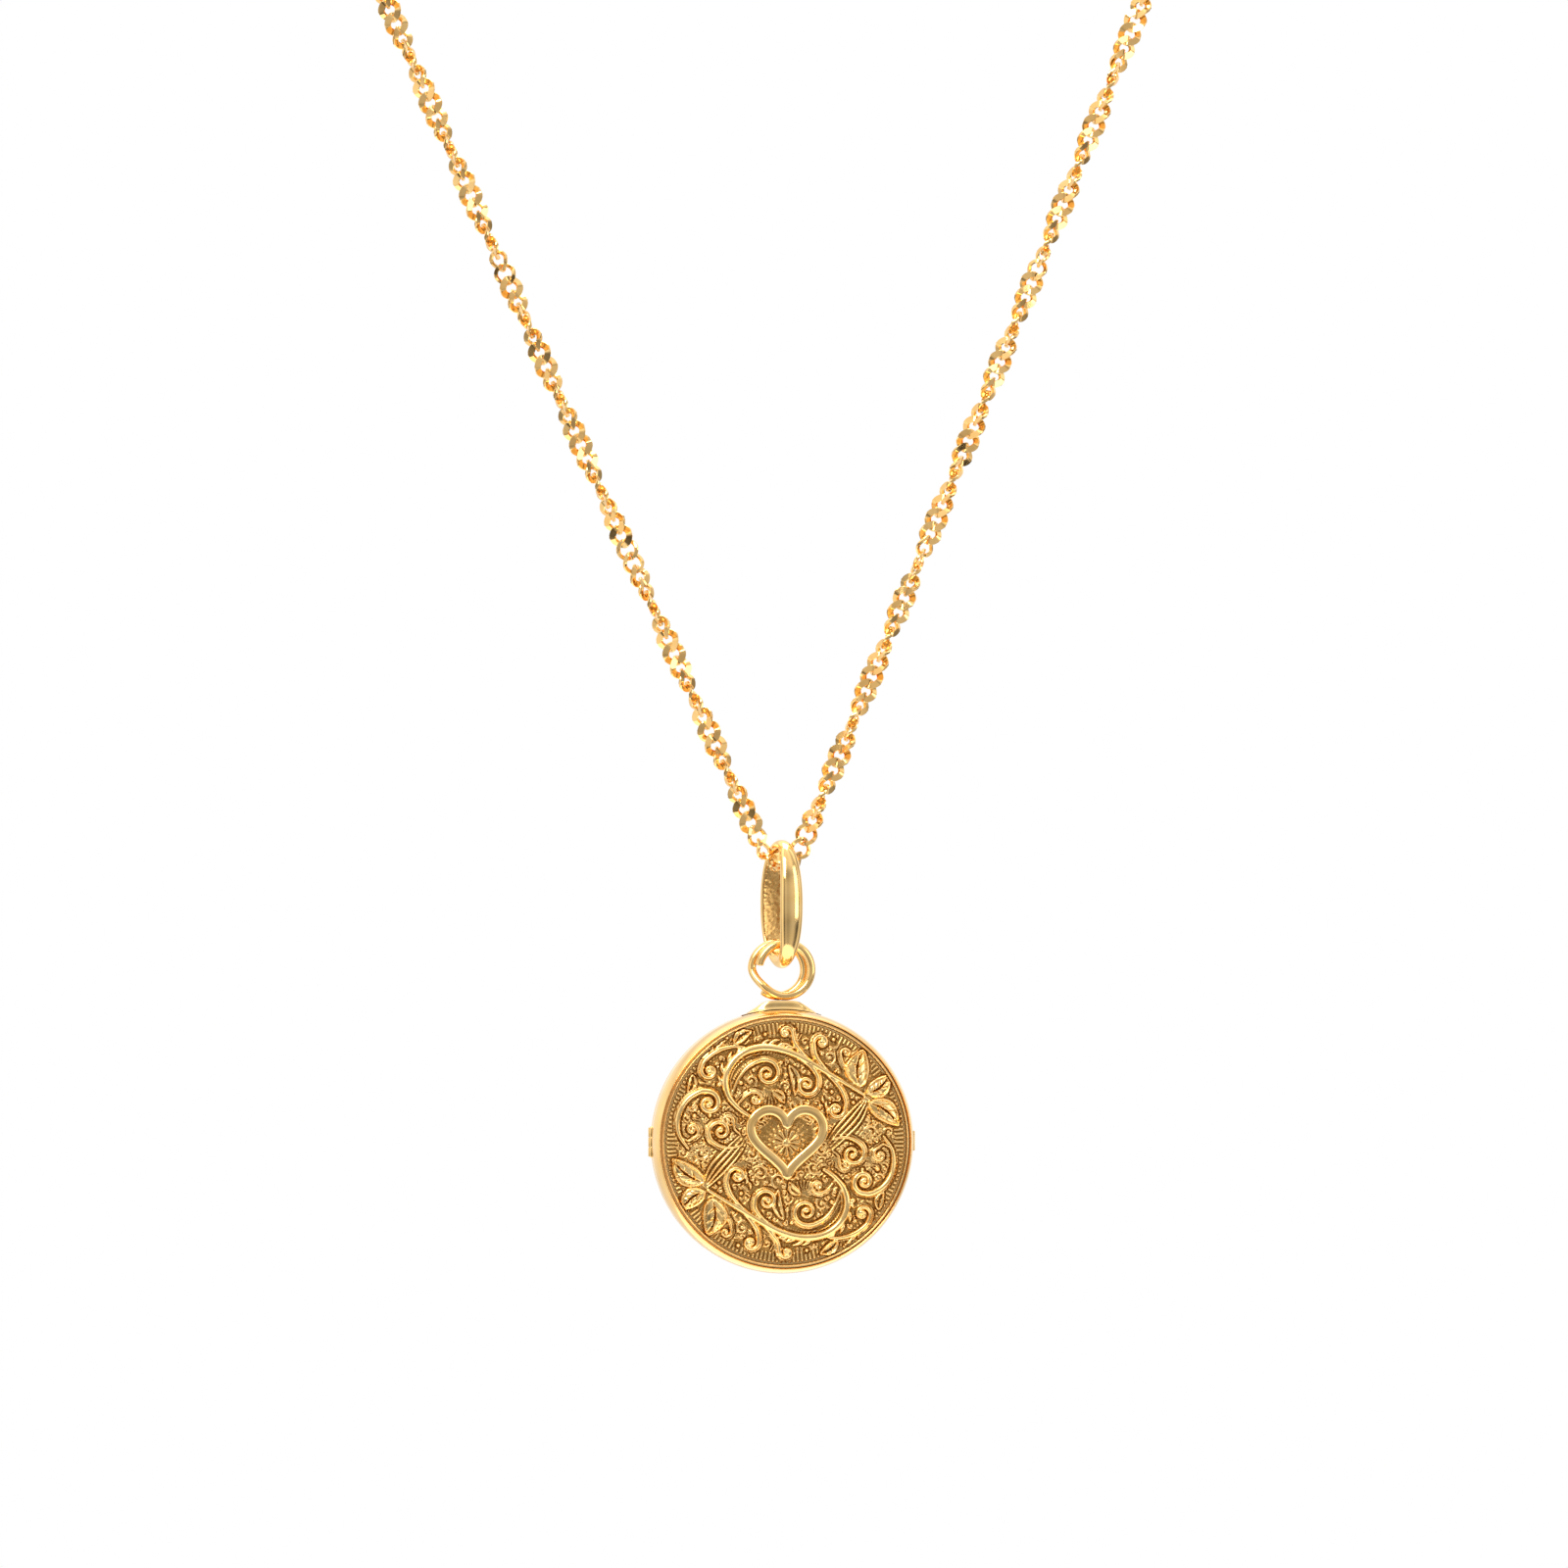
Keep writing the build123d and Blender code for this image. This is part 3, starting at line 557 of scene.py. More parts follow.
def stroke(points, width, height, shape=bead, carve=False):
    """Raised or carved line; half-width and height are numbers or are spread along it."""
    points = np.asarray(points, float) * GROW
    run = run_length(points)
    run = run / max(run[-1], 1e-9)

    def along(values):
        values = np.atleast_1d(values)
        return np.interp(run, np.linspace(0, 1, len(values)), values)

    width, height = along(width) * stroke_gain[0], along(height) * stroke_gain[1]
    for i in range(len(points) - 1):
        (x0, z0), (x1, z1) = points[i], points[i + 1]
        reach = max(width[i], width[i + 1]) + CELL
        left, right = np.searchsorted(axis, [min(x0, x1) - reach, max(x0, x1) + reach])
        low, high = np.searchsorted(axis, [min(z0, z1) - reach, max(z0, z1) + reach])
        x, z = axis[None, left:right], axis[low:high, None]
        dx, dz = x1 - x0, z1 - z0
        t = np.clip(((x - x0) * dx + (z - z0) * dz) / (dx * dx + dz * dz + 1e-12), 0, 1)
        distance = np.hypot(x - x0 - t * dx, z - z0 - t * dz)
        w = width[i] + (width[i + 1] - width[i]) * t
        h = height[i] + (height[i + 1] - height[i]) * t
        value = h * shape(distance / np.maximum(w, 1e-6))
        patch = relief[low:high, left:right]
        if carve:
            patch -= np.minimum(value, np.maximum(patch, 0)) * (distance < w)
        else:
            np.maximum(patch, value, out=patch)


def dot(x, z, radius, height):
    stroke([(x, z), (x + 1e-4, z)], radius, height)


def unit_tangents(points):
    tangent = np.gradient(points, axis=0)
    return tangent / np.maximum(np.hypot(tangent[:, 0], tangent[:, 1]), 1e-9)[:, None]


def spiral(centre, start, turns, direction, shrink=0.16):
    """Points curling from start towards the centre; direction 1 is counterclockwise."""
    dx, dz = np.array(start, float) - np.array(centre, float)
    t = np.linspace(0, 1, int(34 * turns) + 6)
    radius = np.hypot(dx, dz) * (shrink + (1 - shrink) * (1 - t) ** 1.25)
    angle = math.atan2(dz, dx) + direction * t * turns * TAU
    return np.stack([centre[0] + radius * np.cos(angle), centre[1] + radius * np.sin(angle)], 1)


def scroll(stem, centre, turns, direction, width, height=0.24, ball=0.17):
    """A stem that ends in a volute with a ball in its eye, and a fine line beside it."""
    points = np.concatenate([smooth(stem, 10), spiral(centre, stem[-1], turns, direction)[1:]])
    stroke(points, width, (height * 0.55, height, height, height * 0.95))
    dot(*points[-1], ball, height * 1.06)
    tangent = unit_tangents(points)
    normal = np.stack([-tangent[:, 1], tangent[:, 0]], 1) * (-direction)
    beside = points + normal * (np.mean(width) + 0.115)
    stroke(beside[4:int(len(beside) * 0.62)], (0.03, 0.05, 0.03), (0.05, 0.13, 0.05))


def leaf(base, tip, half, veins, bend, height):
    """Pointed leaf: domed body, raised edge, carved midrib and side veins."""
    count = 26
    length = np.hypot(*(tip - base))
    ahead = (tip - base) / length
    across = np.array([-ahead[1], ahead[0]])
    s = np.linspace(0, 1, count)
    arch = np.sin(np.pi * s)
    middle = base + ahead * (length * s)[:, None] + across * (bend * length * arch)[:, None]
    width = half * np.sin(np.pi * s ** 0.85) ** 0.8
    stroke(middle, width + 1e-3, height * (0.55 + 0.45 * arch), soft)
    for sign in (-1, 1):
        stroke(middle + across * (sign * width)[:, None], (0.05, 0.085, 0.05),
               (height * 0.9, height * 1.25, height * 1.1))
    stroke(middle[2:-2], (0.035, 0.06, 0.03), (0.05, 0.13, 0.05), soft, carve=True)
    for k in range(1, veins + 1):
        i = int(count * k / (veins + 1.4)) + 1
        j = min(i + 5, count - 1)
        for sign in (-1, 1):
            start, end = middle[i], middle[j] + across * sign * width[j] * 0.72
            stroke([start, (start + end) / 2, end], (0.045, 0.02), (0.09, 0.03), soft, carve=True)


def frond(stem, count, length, width, sign, fan, height=0.2):
    """Short curled blades leaving one side of a stem."""
    points = smooth(stem, 10)
    tangent = unit_tangents(points)
    for k in range(count):
        i = int((k + 0.8) / (count + 0.6) * (len(points) - 1))
        start = (math.atan2(tangent[i][1], tangent[i][0])
                 + sign * math.radians(fan * (1 - 0.35 * k / count)))
        blade_length = length * (0.75 + 0.5 * math.sin(math.pi * (k + 1) / (count + 1)))
        blade = [points[i]]
        for s in np.linspace(0, 1, 8)[1:]:
            angle = start - sign * s * 0.9
            blade.append(blade[-1]
                         + blade_length / 7 * np.array([math.cos(angle), math.sin(angle)]))
        stroke(blade, (width * 0.7, width * 1.15, width * 0.5),
               (height * 0.6, height, height * 0.75))


# The drawing of one half, in (x, z). The other half is its half-turned copy.
# S-shaped stem from beside the heart over the top to the leaf spray: points, widths, heights
STEM = (((-2.45, 1.75), (-3.15, 2.25), (-3.80, 3.10), (-3.95, 4.20), (-3.45, 5.25), (-2.45, 5.95),
         (-1.15, 6.12), (0.25, 5.80), (1.55, 5.15), (2.80, 4.40), (4.00, 3.70), (5.05, 3.05)),
        (0.10, 0.17, 0.20, 0.20, 0.17, 0.13, 0.09), (0.16, 0.27, 0.28, 0.27, 0.24, 0.2))
STEM_LINE = (((-2.75, 1.72), (-3.35, 2.35), (-3.55, 3.20), (-3.60, 4.15), (-3.15, 5.00),
              (-2.30, 5.58), (-1.10, 5.75), (0.1, 5.47)), (0.03, 0.055, 0.03), (0.06, 0.15, 0.06))
# stem points, centre of the volute, turns, direction, half-widths [, height [, ball radius]]
SCROLLS = (
    # inside the big stem
    (((-3.55, 3.05), (-3.15, 4.05), (-2.55, 4.85), (-1.75, 5.28), (-1.20, 5.30)),
     (-1.25, 4.45), 1.55, -1, (0.06, 0.13, 0.12, 0.09)),
    (((-0.2, 5.75), (0.70, 5.45), (1.55, 4.90), (2.02, 4.25), (2.05, 3.75)),
     (1.30, 3.72), 1.5, -1, (0.06, 0.13, 0.12, 0.09)),
    (((1.9, 4.85), (2.85, 4.20), (3.55, 3.40), (3.85, 2.60), (3.80, 2.15)),
     (3.22, 2.12), 1.45, -1, (0.06, 0.12, 0.11, 0.08)),
    (((-3.2, 2.35), (-2.75, 2.95), (-2.30, 3.25), (-2.0, 3.25)),
     (-2.02, 2.80), 1.35, -1, (0.05, 0.10, 0.09, 0.07), 0.2, 0.13),
    # outer curls near the milled border
    (((1.75, 5.10), (1.05, 5.75), (0.55, 6.40), (0.42, 7.00)),
     (-0.02, 7.05), 1.3, 1, (0.06, 0.12, 0.11, 0.08), 0.25, 0.15),
    (((3.15, 4.20), (2.45, 4.85), (1.92, 5.60), (1.80, 6.35)),
     (2.30, 6.42), 1.4, -1, (0.06, 0.13, 0.12, 0.08), 0.25),
    (((-2.35, 6.05), (-3.40, 6.18), (-4.45, 5.90), (-5.25, 5.30), (-5.50, 4.70)),
     (-4.98, 4.62), 1.4, 1, (0.06, 0.13, 0.12, 0.08)),
    (((4.35, 3.40), (4.20, 4.30), (3.70, 5.05), (3.55, 5.60)),
     (3.92, 5.72), 1.2, -1, (0.05, 0.09, 0.08, 0.06), 0.2, 0.12),
    # beside the heart
    (((-6.35, -0.35), (-6.95, 0.60), (-6.98, 1.75), (-6.45, 2.75), (-5.60, 3.30), (-4.95, 3.30)),
     (-5.05, 2.55), 1.5, -1, (0.07, 0.15, 0.16, 0.14, 0.10), 0.26),
    (((-2.9, -0.15), (-3.6, -0.32), (-4.30, -0.20), (-4.85, 0.15)),
     (-4.30, 0.75), 1.4, -1, (0.05, 0.12, 0.12, 0.09)),
    (((-3.0, 0.55), (-3.35, 0.85), (-3.45, 1.25)),
     (-3.85, 1.42), 1.25, 1, (0.05, 0.09, 0.08), 0.18, 0.12),
    (((-6.75, 0.35), (-6.35, 0.15), (-6.05, 0.35)),
     (-6.10, 0.85), 1.3, 1, (0.05, 0.10, 0.09), 0.2, 0.13))
# base, tip, half-width, side veins, bend, height
LEAF_SPRAY = (((4.80, 3.55), (5.05, 5.95), 0.72, 3, 0.13, 0.24),
              ((5.30, 3.10), (6.75, 4.25), 0.56, 3, -0.10, 0.24),
              ((5.35, 2.55), (7.35, 1.05), 0.64, 3, 0.10, 0.24))
SMALL_LEAVES = (((-3.35, 6.35), (-2.25, 7.15), 0.30, 2, 0.12, 0.19),
                ((-4.75, 5.95), (-3.75, 6.75), 0.20, 2, 0.12, 0.15),
                ((-6.05, 4.35), (-6.35, 3.25), 0.22, 2, 0.12, 0.15),
                ((-0.9, 3.35), (-0.15, 2.55), 0.20, 1, 0.12, 0.14),
                ((0.2, 4.95), (0.55, 3.05), 0.24, 2, 0.12, 0.15))
# stalks under the spray: one line, shifted by each offset times its points' shares
STALK = np.array([(2.75, -0.1), (3.45, 0.75), (4.35, 1.75), (5.25, 2.85)])
STALK_SHARES = np.array([(0.4, 1), (0.8, 1), (1, 0.8), (0.3, 0.3)])
STALK_OFFSETS = ((0, 0), (0.28, -0.18), (0.55, -0.40), (-0.25, 0.22))
# stem points, blades, blade length, half-width, side, angle from the stem in degrees
FRONDS = (
    (((-3.9, 3.4), (-4.05, 4.3), (-3.6, 5.3), (-2.7, 6.0)), 4, 0.62, 0.09, 1, 55),
    (((-1.9, 6.10), (-0.9, 6.15), (0.1, 5.95)), 4, 0.78, 0.09, 1, 62),
    (((-6.95, 0.8), (-6.98, 1.7), (-6.5, 2.7), (-5.8, 3.2)), 4, 0.42, 0.07, 1, 48),
    (((2.2, 3.1), (2.6, 2.6), (2.75, 2.0)), 3, 0.45, 0.07, -1, 55))
# fans of fine lines: centre x, z, first and last angle, inner and outer radius, count
FANS = ((-1.1, 3.6, 205, 330, 0.25, 1.15, 11), (3.0, 1.1, 40, 150, 0.15, 0.75, 8),
        (-5.2, 1.35, 150, 300, 0.25, 0.85, 10), (0.6, 6.2, 60, 120, 0.3, 0.8, 5),
        (-3.2, 1.0, 20, 160, 0.1, 0.6, 7))
# x, z, radius
BEADS = ((-4.35, 3.75, 0.13), (-0.35, 5.15, 0.12), (2.95, 3.25, 0.11), (-2.95, 3.85, 0.12),
         (4.35, 2.55, 0.1), (-5.95, 1.75, 0.12), (-4.95, 1.75, 0.10), (0.55, 7.25, 0.1),
         (3.1, 6.6, 0.11), (-1.35, 6.95, 0.1))


def ornament(turn):
    """One half of the design; turn is 1, or -1 for the half-turned copy."""
    for points, width, height in (STEM, STEM_LINE):
        stroke(smooth(turn * np.array(points), 10), width, height)
    for stem, centre, *rest in SCROLLS:
        scroll(turn * np.array(stem), turn * np.array(centre), *rest)
    for base, tip, *rest in LEAF_SPRAY:
        leaf(turn * np.array(base), turn * np.array(tip), *rest)
    for offset in STALK_OFFSETS:
        stalk = turn * (STALK + np.array(offset) * STALK_SHARES)
        stroke(smooth(stalk, 10), (0.04, 0.075, 0.05), (0.08, 0.19, 0.14))
    for stem, *rest in FRONDS:
        frond(turn * np.array(stem), *rest)
    for base, tip, *rest in SMALL_LEAVES:
        leaf(turn * np.array(base), turn * np.array(tip), *rest)
    for x, z, first, last, inner, outer, count in FANS:
        for a in np.radians(np.linspace(first, last, count)):
            ends = [(turn * (x + r * math.cos(a)), turn * (z + r * math.sin(a)))
                    for r in (inner, outer)]
            stroke(ends, (0.03, 0.05), (0.06, 0.11))
    for x, z, radius in BEADS:
        dot(turn * x, turn * z, radius, 0.2)


def border_ribs(count=176):
    """Milled border of short radial ribs."""
    band = np.clip((grid_r - 7.42) / 0.10, 0, 1) * np.clip((8.20 - grid_r) / 0.06, 0, 1)
    wave = 0.5 + 0.9 * np.cos(np.arctan2(grid_z, grid_x) * count)
    return 0.15 * band * np.clip(wave, 0, 1)


def dilate(mask, diagonal):
    """Grow a mask by one cell along the axes and, if asked, diagonally."""
    grown = mask.copy()
    grown[1:] |= mask[:-1]
    grown[:-1] |= mask[1:]
    grown[:, 1:] |= mask[:, :-1]
    grown[:, :-1] |= mask[:, 1:]
    if diagonal:
        grown[1:, 1:] |= mask[:-1, :-1]
        grown[:-1, :-1] |= mask[1:, 1:]
        grown[1:, :-1] |= mask[:-1, 1:]
        grown[:-1, 1:] |= mask[1:, :-1]
    return grown


coarse_x, coarse_z, coarse_r = (grid[::COARSE, ::COARSE] for grid in (grid_x, grid_z, grid_r))


def free_distance():
    """Distance of coarse cells from anything raised (mm), and the mask of raised cells."""
    raised = (relief[::COARSE, ::COARSE] > 0.045) & (coarse_r < 7.42)
    taken = raised | (coarse_r > 7.5) | (coarse_r < 1.95)
    distance = np.zeros(taken.shape)
    step = axis[COARSE] - axis[0]
    for n in range(16):
        distance += ~taken * step
        taken = dilate(taken, diagonal=n % 2)
        if taken.all():
            break
    return distance, raised


def curl(x, z, radius, angle, direction):
    """Small curl that grows from an angle on the circle of a radius about (x, z)."""
    shrink = 1 / GROW
    centre = (x * shrink, z * shrink)
    radius = radius * shrink
    start = (centre[0] + radius * math.cos(angle), centre[1] + radius * math.sin(angle))
    points = spiral(centre, start, 1.25 if radius > 0.4 else 0.95, direction, shrink=0.12)
    width = 0.055 + 0.10 * min(radius, 0.75)
    stroke(points, (width * 0.7, width, width * 0.85, width * 0.75), (0.16, 0.25, 0.24, 0.22))
    dot(*points[-1], width * 1.35, 0.25)
    if radius > 0.42:
        # leaflets on the outside of the curl
        for share in (0.10, 0.22, 0.34):
            base = points[int(share * len(points))]
            out = (base - np.array(centre)) / np.hypot(*(base - np.array(centre)))
            ahead = np.array([-out[1], out[0]]) * direction
            stroke([base, base + out * 0.10 + ahead * 0.10, base + out * 0.13 + ahead * 0.26],
                   (0.05, 0.065, 0.02), (0.16, 0.2, 0.1))


def fill_gaps():
    """Put curls, or short strokes where it is tight, into the largest empty places in turn."""
    fill_rng = np.random.default_rng(21)
    for _ in range(210):
        distance, raised = free_distance()
        distance = np.where(coarse_z > 0.0, distance, 0)
        spot = np.unravel_index(int(np.argmax(distance)), distance.shape)
        radius = float(distance[spot])
        if radius < 0.13:
            break
        x, z = float(coarse_x[spot]), float(coarse_z[spot])
        radius = min(radius, 0.62)
        raised_x, raised_z = coarse_x[raised], coarse_z[raised]
        nearest = int(np.argmin((raised_x - x) ** 2 + (raised_z - z) ** 2))
        angle = math.atan2(raised_z[nearest] - z, raised_x[nearest] - x)
        direction = 1 if fill_rng.random() < 0.5 else -1
        ux, uz = math.cos(angle), math.sin(angle)
        for turn in (1, -1):
            if radius > 0.22:
                curl(turn * x, turn * z, radius * 0.98, angle if turn > 0 else angle + math.pi,
                     direction)
            else:
                ends = [(turn * (x + ux * radius * reach) / GROW,
                         turn * (z + uz * radius * reach) / GROW) for reach in (1.1, -0.8)]
                stroke(ends, (radius * 0.30, radius * 0.52), (0.14, 0.19))


def rosette():
    """Petals, beads and rays inside the heart."""
    def ray(angle, inner, outer, width, height):
        stroke([(r * math.cos(angle), r * math.sin(angle)) for r in (inner, outer)],
               width, height)

    for k in range(12):
        ray(k * TAU / 12, 0.30, 0.78, (0.07, 0.15), (0.16, 0.17))
    dot(0, 0, 0.27, 0.24)
    for k in range(20):
        a = (k + 0.5) * TAU / 20
        dot(1.10 * math.cos(a), 1.10 * math.sin(a), 0.10, 0.15)
    for k in range(24):
        ray(k * TAU / 24, 1.28, 1.75, (0.04, 0.03), (0.10, 0.03))


def punched_ground():
    """Fine hatching and stipple where nothing is raised."""
    low = np.where(moat, 0.0, np.exp(-(relief / 0.05) ** 2))
    hatch = (np.clip(0.5 + 0.9 * np.cos((grid_x * 0.45 + grid_z) * TAU / 0.19), 0, 1)
             * np.clip(0.4 + 0.9 * np.cos((grid_x - 0.45 * grid_z) * TAU / 0.21), 0, 1))
    # random heights on squares of 8 by 8 cells
    squares = RELIEF_CELLS // 8
    square = np.minimum(np.arange(RELIEF_CELLS) // 8, squares - 1)
    stipple = rng.random((squares, squares))[np.ix_(square, square)]
    inside = np.clip((7.4 - grid_r) / 0.1, 0, 1)
    return inside * low * (0.05 * hatch + 0.03 * stipple)


stroke_gain = MOTIF_GAIN
ornament(1)
ornament(-1)
motif = relief.copy()
# bare strip kept around the motif
moat = motif > 0.10
for k in range(6):
    moat = dilate(moat, diagonal=k % 3 == 1)
stroke_gain = FILL_GAIN
fill_gaps()
rosette()
filling = np.where(relief > motif + 1e-6, relief, 0.0)
relief[:] = np.maximum(motif, np.where(moat, 0.0, np.maximum(filling, border_ribs())))
relief += punched_ground()


def relief_at(x, z):
    """Relief height, interpolated between cells."""
    column, row = ((np.asarray(value) + RELIEF_HALF) / CELL for value in (x, z))
    i, j = (np.clip(value.astype(int), 0, RELIEF_CELLS - 2) for value in (column, row))
    u, w = column - i, row - j
    return ((1 - w) * ((1 - u) * relief[j, i] + u * relief[j, i + 1])
            + w * ((1 - u) * relief[j + 1, i] + u * relief[j + 1, i + 1]))


PLATE_R = 8.28
GROUND_DEPTH = 0.15     # the ground lies this far below the plate's nominal surface
# vertices per ring for radii above each limit
PLATE_RING_COUNTS = ((6.9, 1056), (4.6, 704), (3.3, 528), (2.0, 352), (0.9, 176), (0, 88))
PLATE_RIM = [(8.285, -4.00), (8.305, -4.075), (8.325, -4.13), (8.35, -4.168), (8.38, -4.18),
             (8.41, -4.165), (8.432, -4.12), (8.445, -4.02), (8.455, -3.915)]
PLATE_UNDER = [(7.4, -3.985), (6.2, -4.07), (4.2, -4.19), (2.1, -4.275)]


def dome(radius):
    """Nominal outer surface of the plate: y at a radius."""
    t = np.clip(np.asarray(radius) / PLATE_R, 0, 1)
    return -4.56 + 0.50 * (0.72 * t ** 2 + 0.28 * t ** 4)


def plate_mesh():
    verts, lift, rings, faces = [], [], [], []

    def add_ring(x, y, z, raised):
        rings.append(np.arange(len(verts), len(verts) + len(x)))
        verts.extend(zip(x, y, z))
        lift.extend(raised)

    radius = 8.26
    while radius > 0.06:
        count = next(n for limit, n in PLATE_RING_COUNTS if radius > limit)
        x, z = radius * unit_circle(count).T
        height = relief_at(x, z) * float(np.clip((8.30 - radius) / 0.08, 0, 1))
        # lift from the relief height; the low ground gets the material's painted shade
        add_ring(x, dome(radius) + GROUND_DEPTH - height, z, np.clip((height - 0.01) / 0.20, 0, 1))
        radius -= 0.055 if radius > 6.9 else 0.060
    add_ring([0], [float(dome(0)) + GROUND_DEPTH - float(relief_at(0, 0))], [0], [1.0])
    for outer, inner in zip(rings, rings[1:]):
        faces += bridge(outer, inner)
    # notched rim and underside
    count = 352
    previous = rings[0]
    angle = np.arange(count) * TAU / count
    for radius, y in PLATE_RIM + PLATE_UNDER:
        notch = 0.010 * np.cos(angle * 88) if 8.34 < radius < 8.40 else np.zeros(count)
        # the outer rim has lift 1; the rim's inner part and the underside get painted shade
        add_ring(radius * np.cos(angle), y + notch, radius * np.sin(angle),
                 [1.0 if radius > 8.31 else 0.0] * count)
        faces += bridge(rings[-1], previous)
        previous = rings[-1]
    add_ring([0], [-4.30], [0], [0.0])
    faces += bridge(rings[-1], previous)
    return (np.array(verts), faces), lift


# the frame may come without a separate plate
has_plate = "decorated_plate" in nodes
plate, plate_lift = plate_mesh()
build("decorated_plate_relief", plate, GOLD_PLATE, "locket_front",
      "decorated_plate" if has_plate else None,
      angle=60, lift=plate_lift)

# ----------------------------------------------------------------------------
# applied heart: polished bar with a crowned top and soft shoulders
# ----------------------------------------------------------------------------
HEART_SCALE = 0.155
HEART_SHOULDER_Y = -4.50
# offset across the bar, height above the shoulder plane; height 0 is the foot
HEART_SECTION = np.array([
    (-0.36, 0.0), (-0.36, 0.16), (-0.345, 0.26), (-0.30, 0.33), (-0.20, 0.375), (0, 0.395),
    (0.20, 0.375), (0.30, 0.33), (0.345, 0.26), (0.36, 0.16), (0.36, 0.0)])


def heart_mesh():
    t = np.linspace(0, TAU, 900, endpoint=False)
    x = 16 * np.sin(t) ** 3
    z = 13 * np.cos(t) - 5 * np.cos(2 * t) - 2 * np.cos(3 * t) - np.cos(4 * t) + 2.4
    line = np.stack([x * HEART_SCALE, z * HEART_SCALE], 1)
    # even spacing, with the cusps softened a little
    line = np.vstack([line, line[:1]])
    run = run_length(line)
    even = np.linspace(0, run[-1], 220, endpoint=False)
    line = np.stack([np.interp(even, run, line[:, k]) for k in (0, 1)], 1)
    for _ in range(3):
        line = 0.5 * line + 0.25 * (np.roll(line, 1, 0) + np.roll(line, -1, 0))
    tangent = np.roll(line, -1, 0) - np.roll(line, 1, 0)
    tangent /= np.hypot(tangent[:, 0], tangent[:, 1])[:, None]
    across, height = HEART_SECTION.T
    x = line[:, :1] + across * tangent[:, 1:]
    z = line[:, 1:] - across * tangent[:, :1]
    y = np.where(height == 0, dome(np.hypot(x, z)) + 0.06, HEART_SHOULDER_Y - height)
    return loft(np.stack([x, y, z], -1))


build("applied_heart_bar", heart_mesh(), GOLD, "locket_front", "applied_heart", angle=50)


# ----------------------------------------------------------------------------
# ring with two turns, and its saddle
# ----------------------------------------------------------------------------
def ring_line(degrees):
    """Wire centre; it steps from one turn to the next between 172 and 232 degrees."""
    s = np.clip((degrees - 172.0) / 60.0, 0, 1)
    s = s * s * (3 - 2 * s)
    a = np.radians(degrees)
    return np.stack([-RING_SPREAD / 2 + RING_SPREAD * s + RING_R * np.cos(a),
                     Y_PART + RING_PITCH / 2 - RING_PITCH * s, RING_Z + RING_R * np.sin(a)], 1)


def ring_mesh():
    count, end_count = 320, 6
    degrees = np.linspace(-123.0, 528.0, count)
    centre = ring_line(degrees)
    tangent = ring_line(degrees + 0.05) - ring_line(degrees - 0.05)
    tangent /= np.linalg.norm(tangent, axis=1)[:, None]
    side = centre - np.array([0, 0, RING_Z])
    side[:, 1] = 0
    side -= tangent * (side * tangent).sum(1)[:, None]
    side /= np.linalg.norm(side, axis=1)[:, None]
    up = np.cross(tangent, side)
    # extra sections that close in round off both ends
    station = np.clip(np.arange(-end_count, count + end_count), 0, count - 1)
    angle = np.linspace(0, 1, end_count + 1)[:-1] * math.pi / 2
    wire_r = RING_WIRE / 2
    reach = wire_r * np.cos(angle)[:, None]
    taper = wire_r * np.maximum(np.sin(angle), 0.05) ** 0.8
    centre = centre[station]
    centre[:end_count] -= tangent[0] * 0.55 * reach
    centre[-end_count:] += tangent[-1] * 0.35 * reach[::-1]
    radius = np.r_[taper, np.full(count, wire_r), taper[::-1]]
    section = radius[:, None, None] * unit_circle(28)
    return sweep(centre, side[station], up[station], section, closed=False)


build("split_ring_wire", ring_mesh(), GOLD, "locket_back", "split_ring", angle=50)

SADDLE_Y, SADDLE_HALF_X, SADDLE_HALF_Y = -1.90, 2.78, 0.94
SADDLE_TOP_Z = 9.58
SADDLE_SEAT_R = 9.004       # radius under the part that overhangs the front cover


def saddle_mesh(rings=26, around=96):
    """Low oval foot: flat top under the ring, concave sides that run out on the case wall."""
    def seat(x, y, offset):
        radius = wall_radius(y) if y > BACK_EDGE_Y else SADDLE_SEAT_R
        return math.sqrt((radius + offset) ** 2 - x * x)

    def top(x, y, share):
        flare = max(0.0, (1 / (1 + (abs(x) / 1.65) ** 5) - 0.0685) / (1 - 0.0685))
        u = np.clip((share - 0.80) / 0.20, 0, 1)
        base = seat(x, y, 0.012)
        return base + max(SADDLE_TOP_Z - base, 0) * ((1 - u * u * (3 - 2 * u)) * flare)

    places = [(0, SADDLE_Y, 0)]
    for share in np.linspace(0, 1, rings + 1)[1:]:
        for a in np.arange(around) * TAU / around:
            c, s = math.cos(a), math.sin(a)
            places.append((SADDLE_HALF_X * share * math.copysign(abs(c) ** 0.8, c),
                           SADDLE_Y + SADDLE_HALF_Y * share * math.copysign(abs(s) ** 0.8, s),
                           share))
    verts = [(x, y, top(x, y, share)) for x, y, share in places]
    verts += [(x, y, seat(x, y, -0.02 if y > BACK_EDGE_Y else 0.0)) for x, y, _ in places]

    under = len(places)
    edges = [(1 + k, 1 + (k + 1) % around) for k in range(around)]
    skin = [(0, a, b) for a, b in edges]
    for i in range(rings - 1):
        inner, outer = i * around, (i + 1) * around
        skin += [(inner + a, outer + a, outer + b, inner + b) for a, b in edges]
    faces = skin + [tuple(under + i for i in reversed(face)) for face in skin]
    rim = (rings - 1) * around
    faces += [(rim + a, rim + a + under, rim + b + under, rim + b) for a, b in edges]
    return np.array(verts), faces


build("ring_saddle_pad", saddle_mesh(), GOLD, "locket_back", "ring_saddle", angle=50)


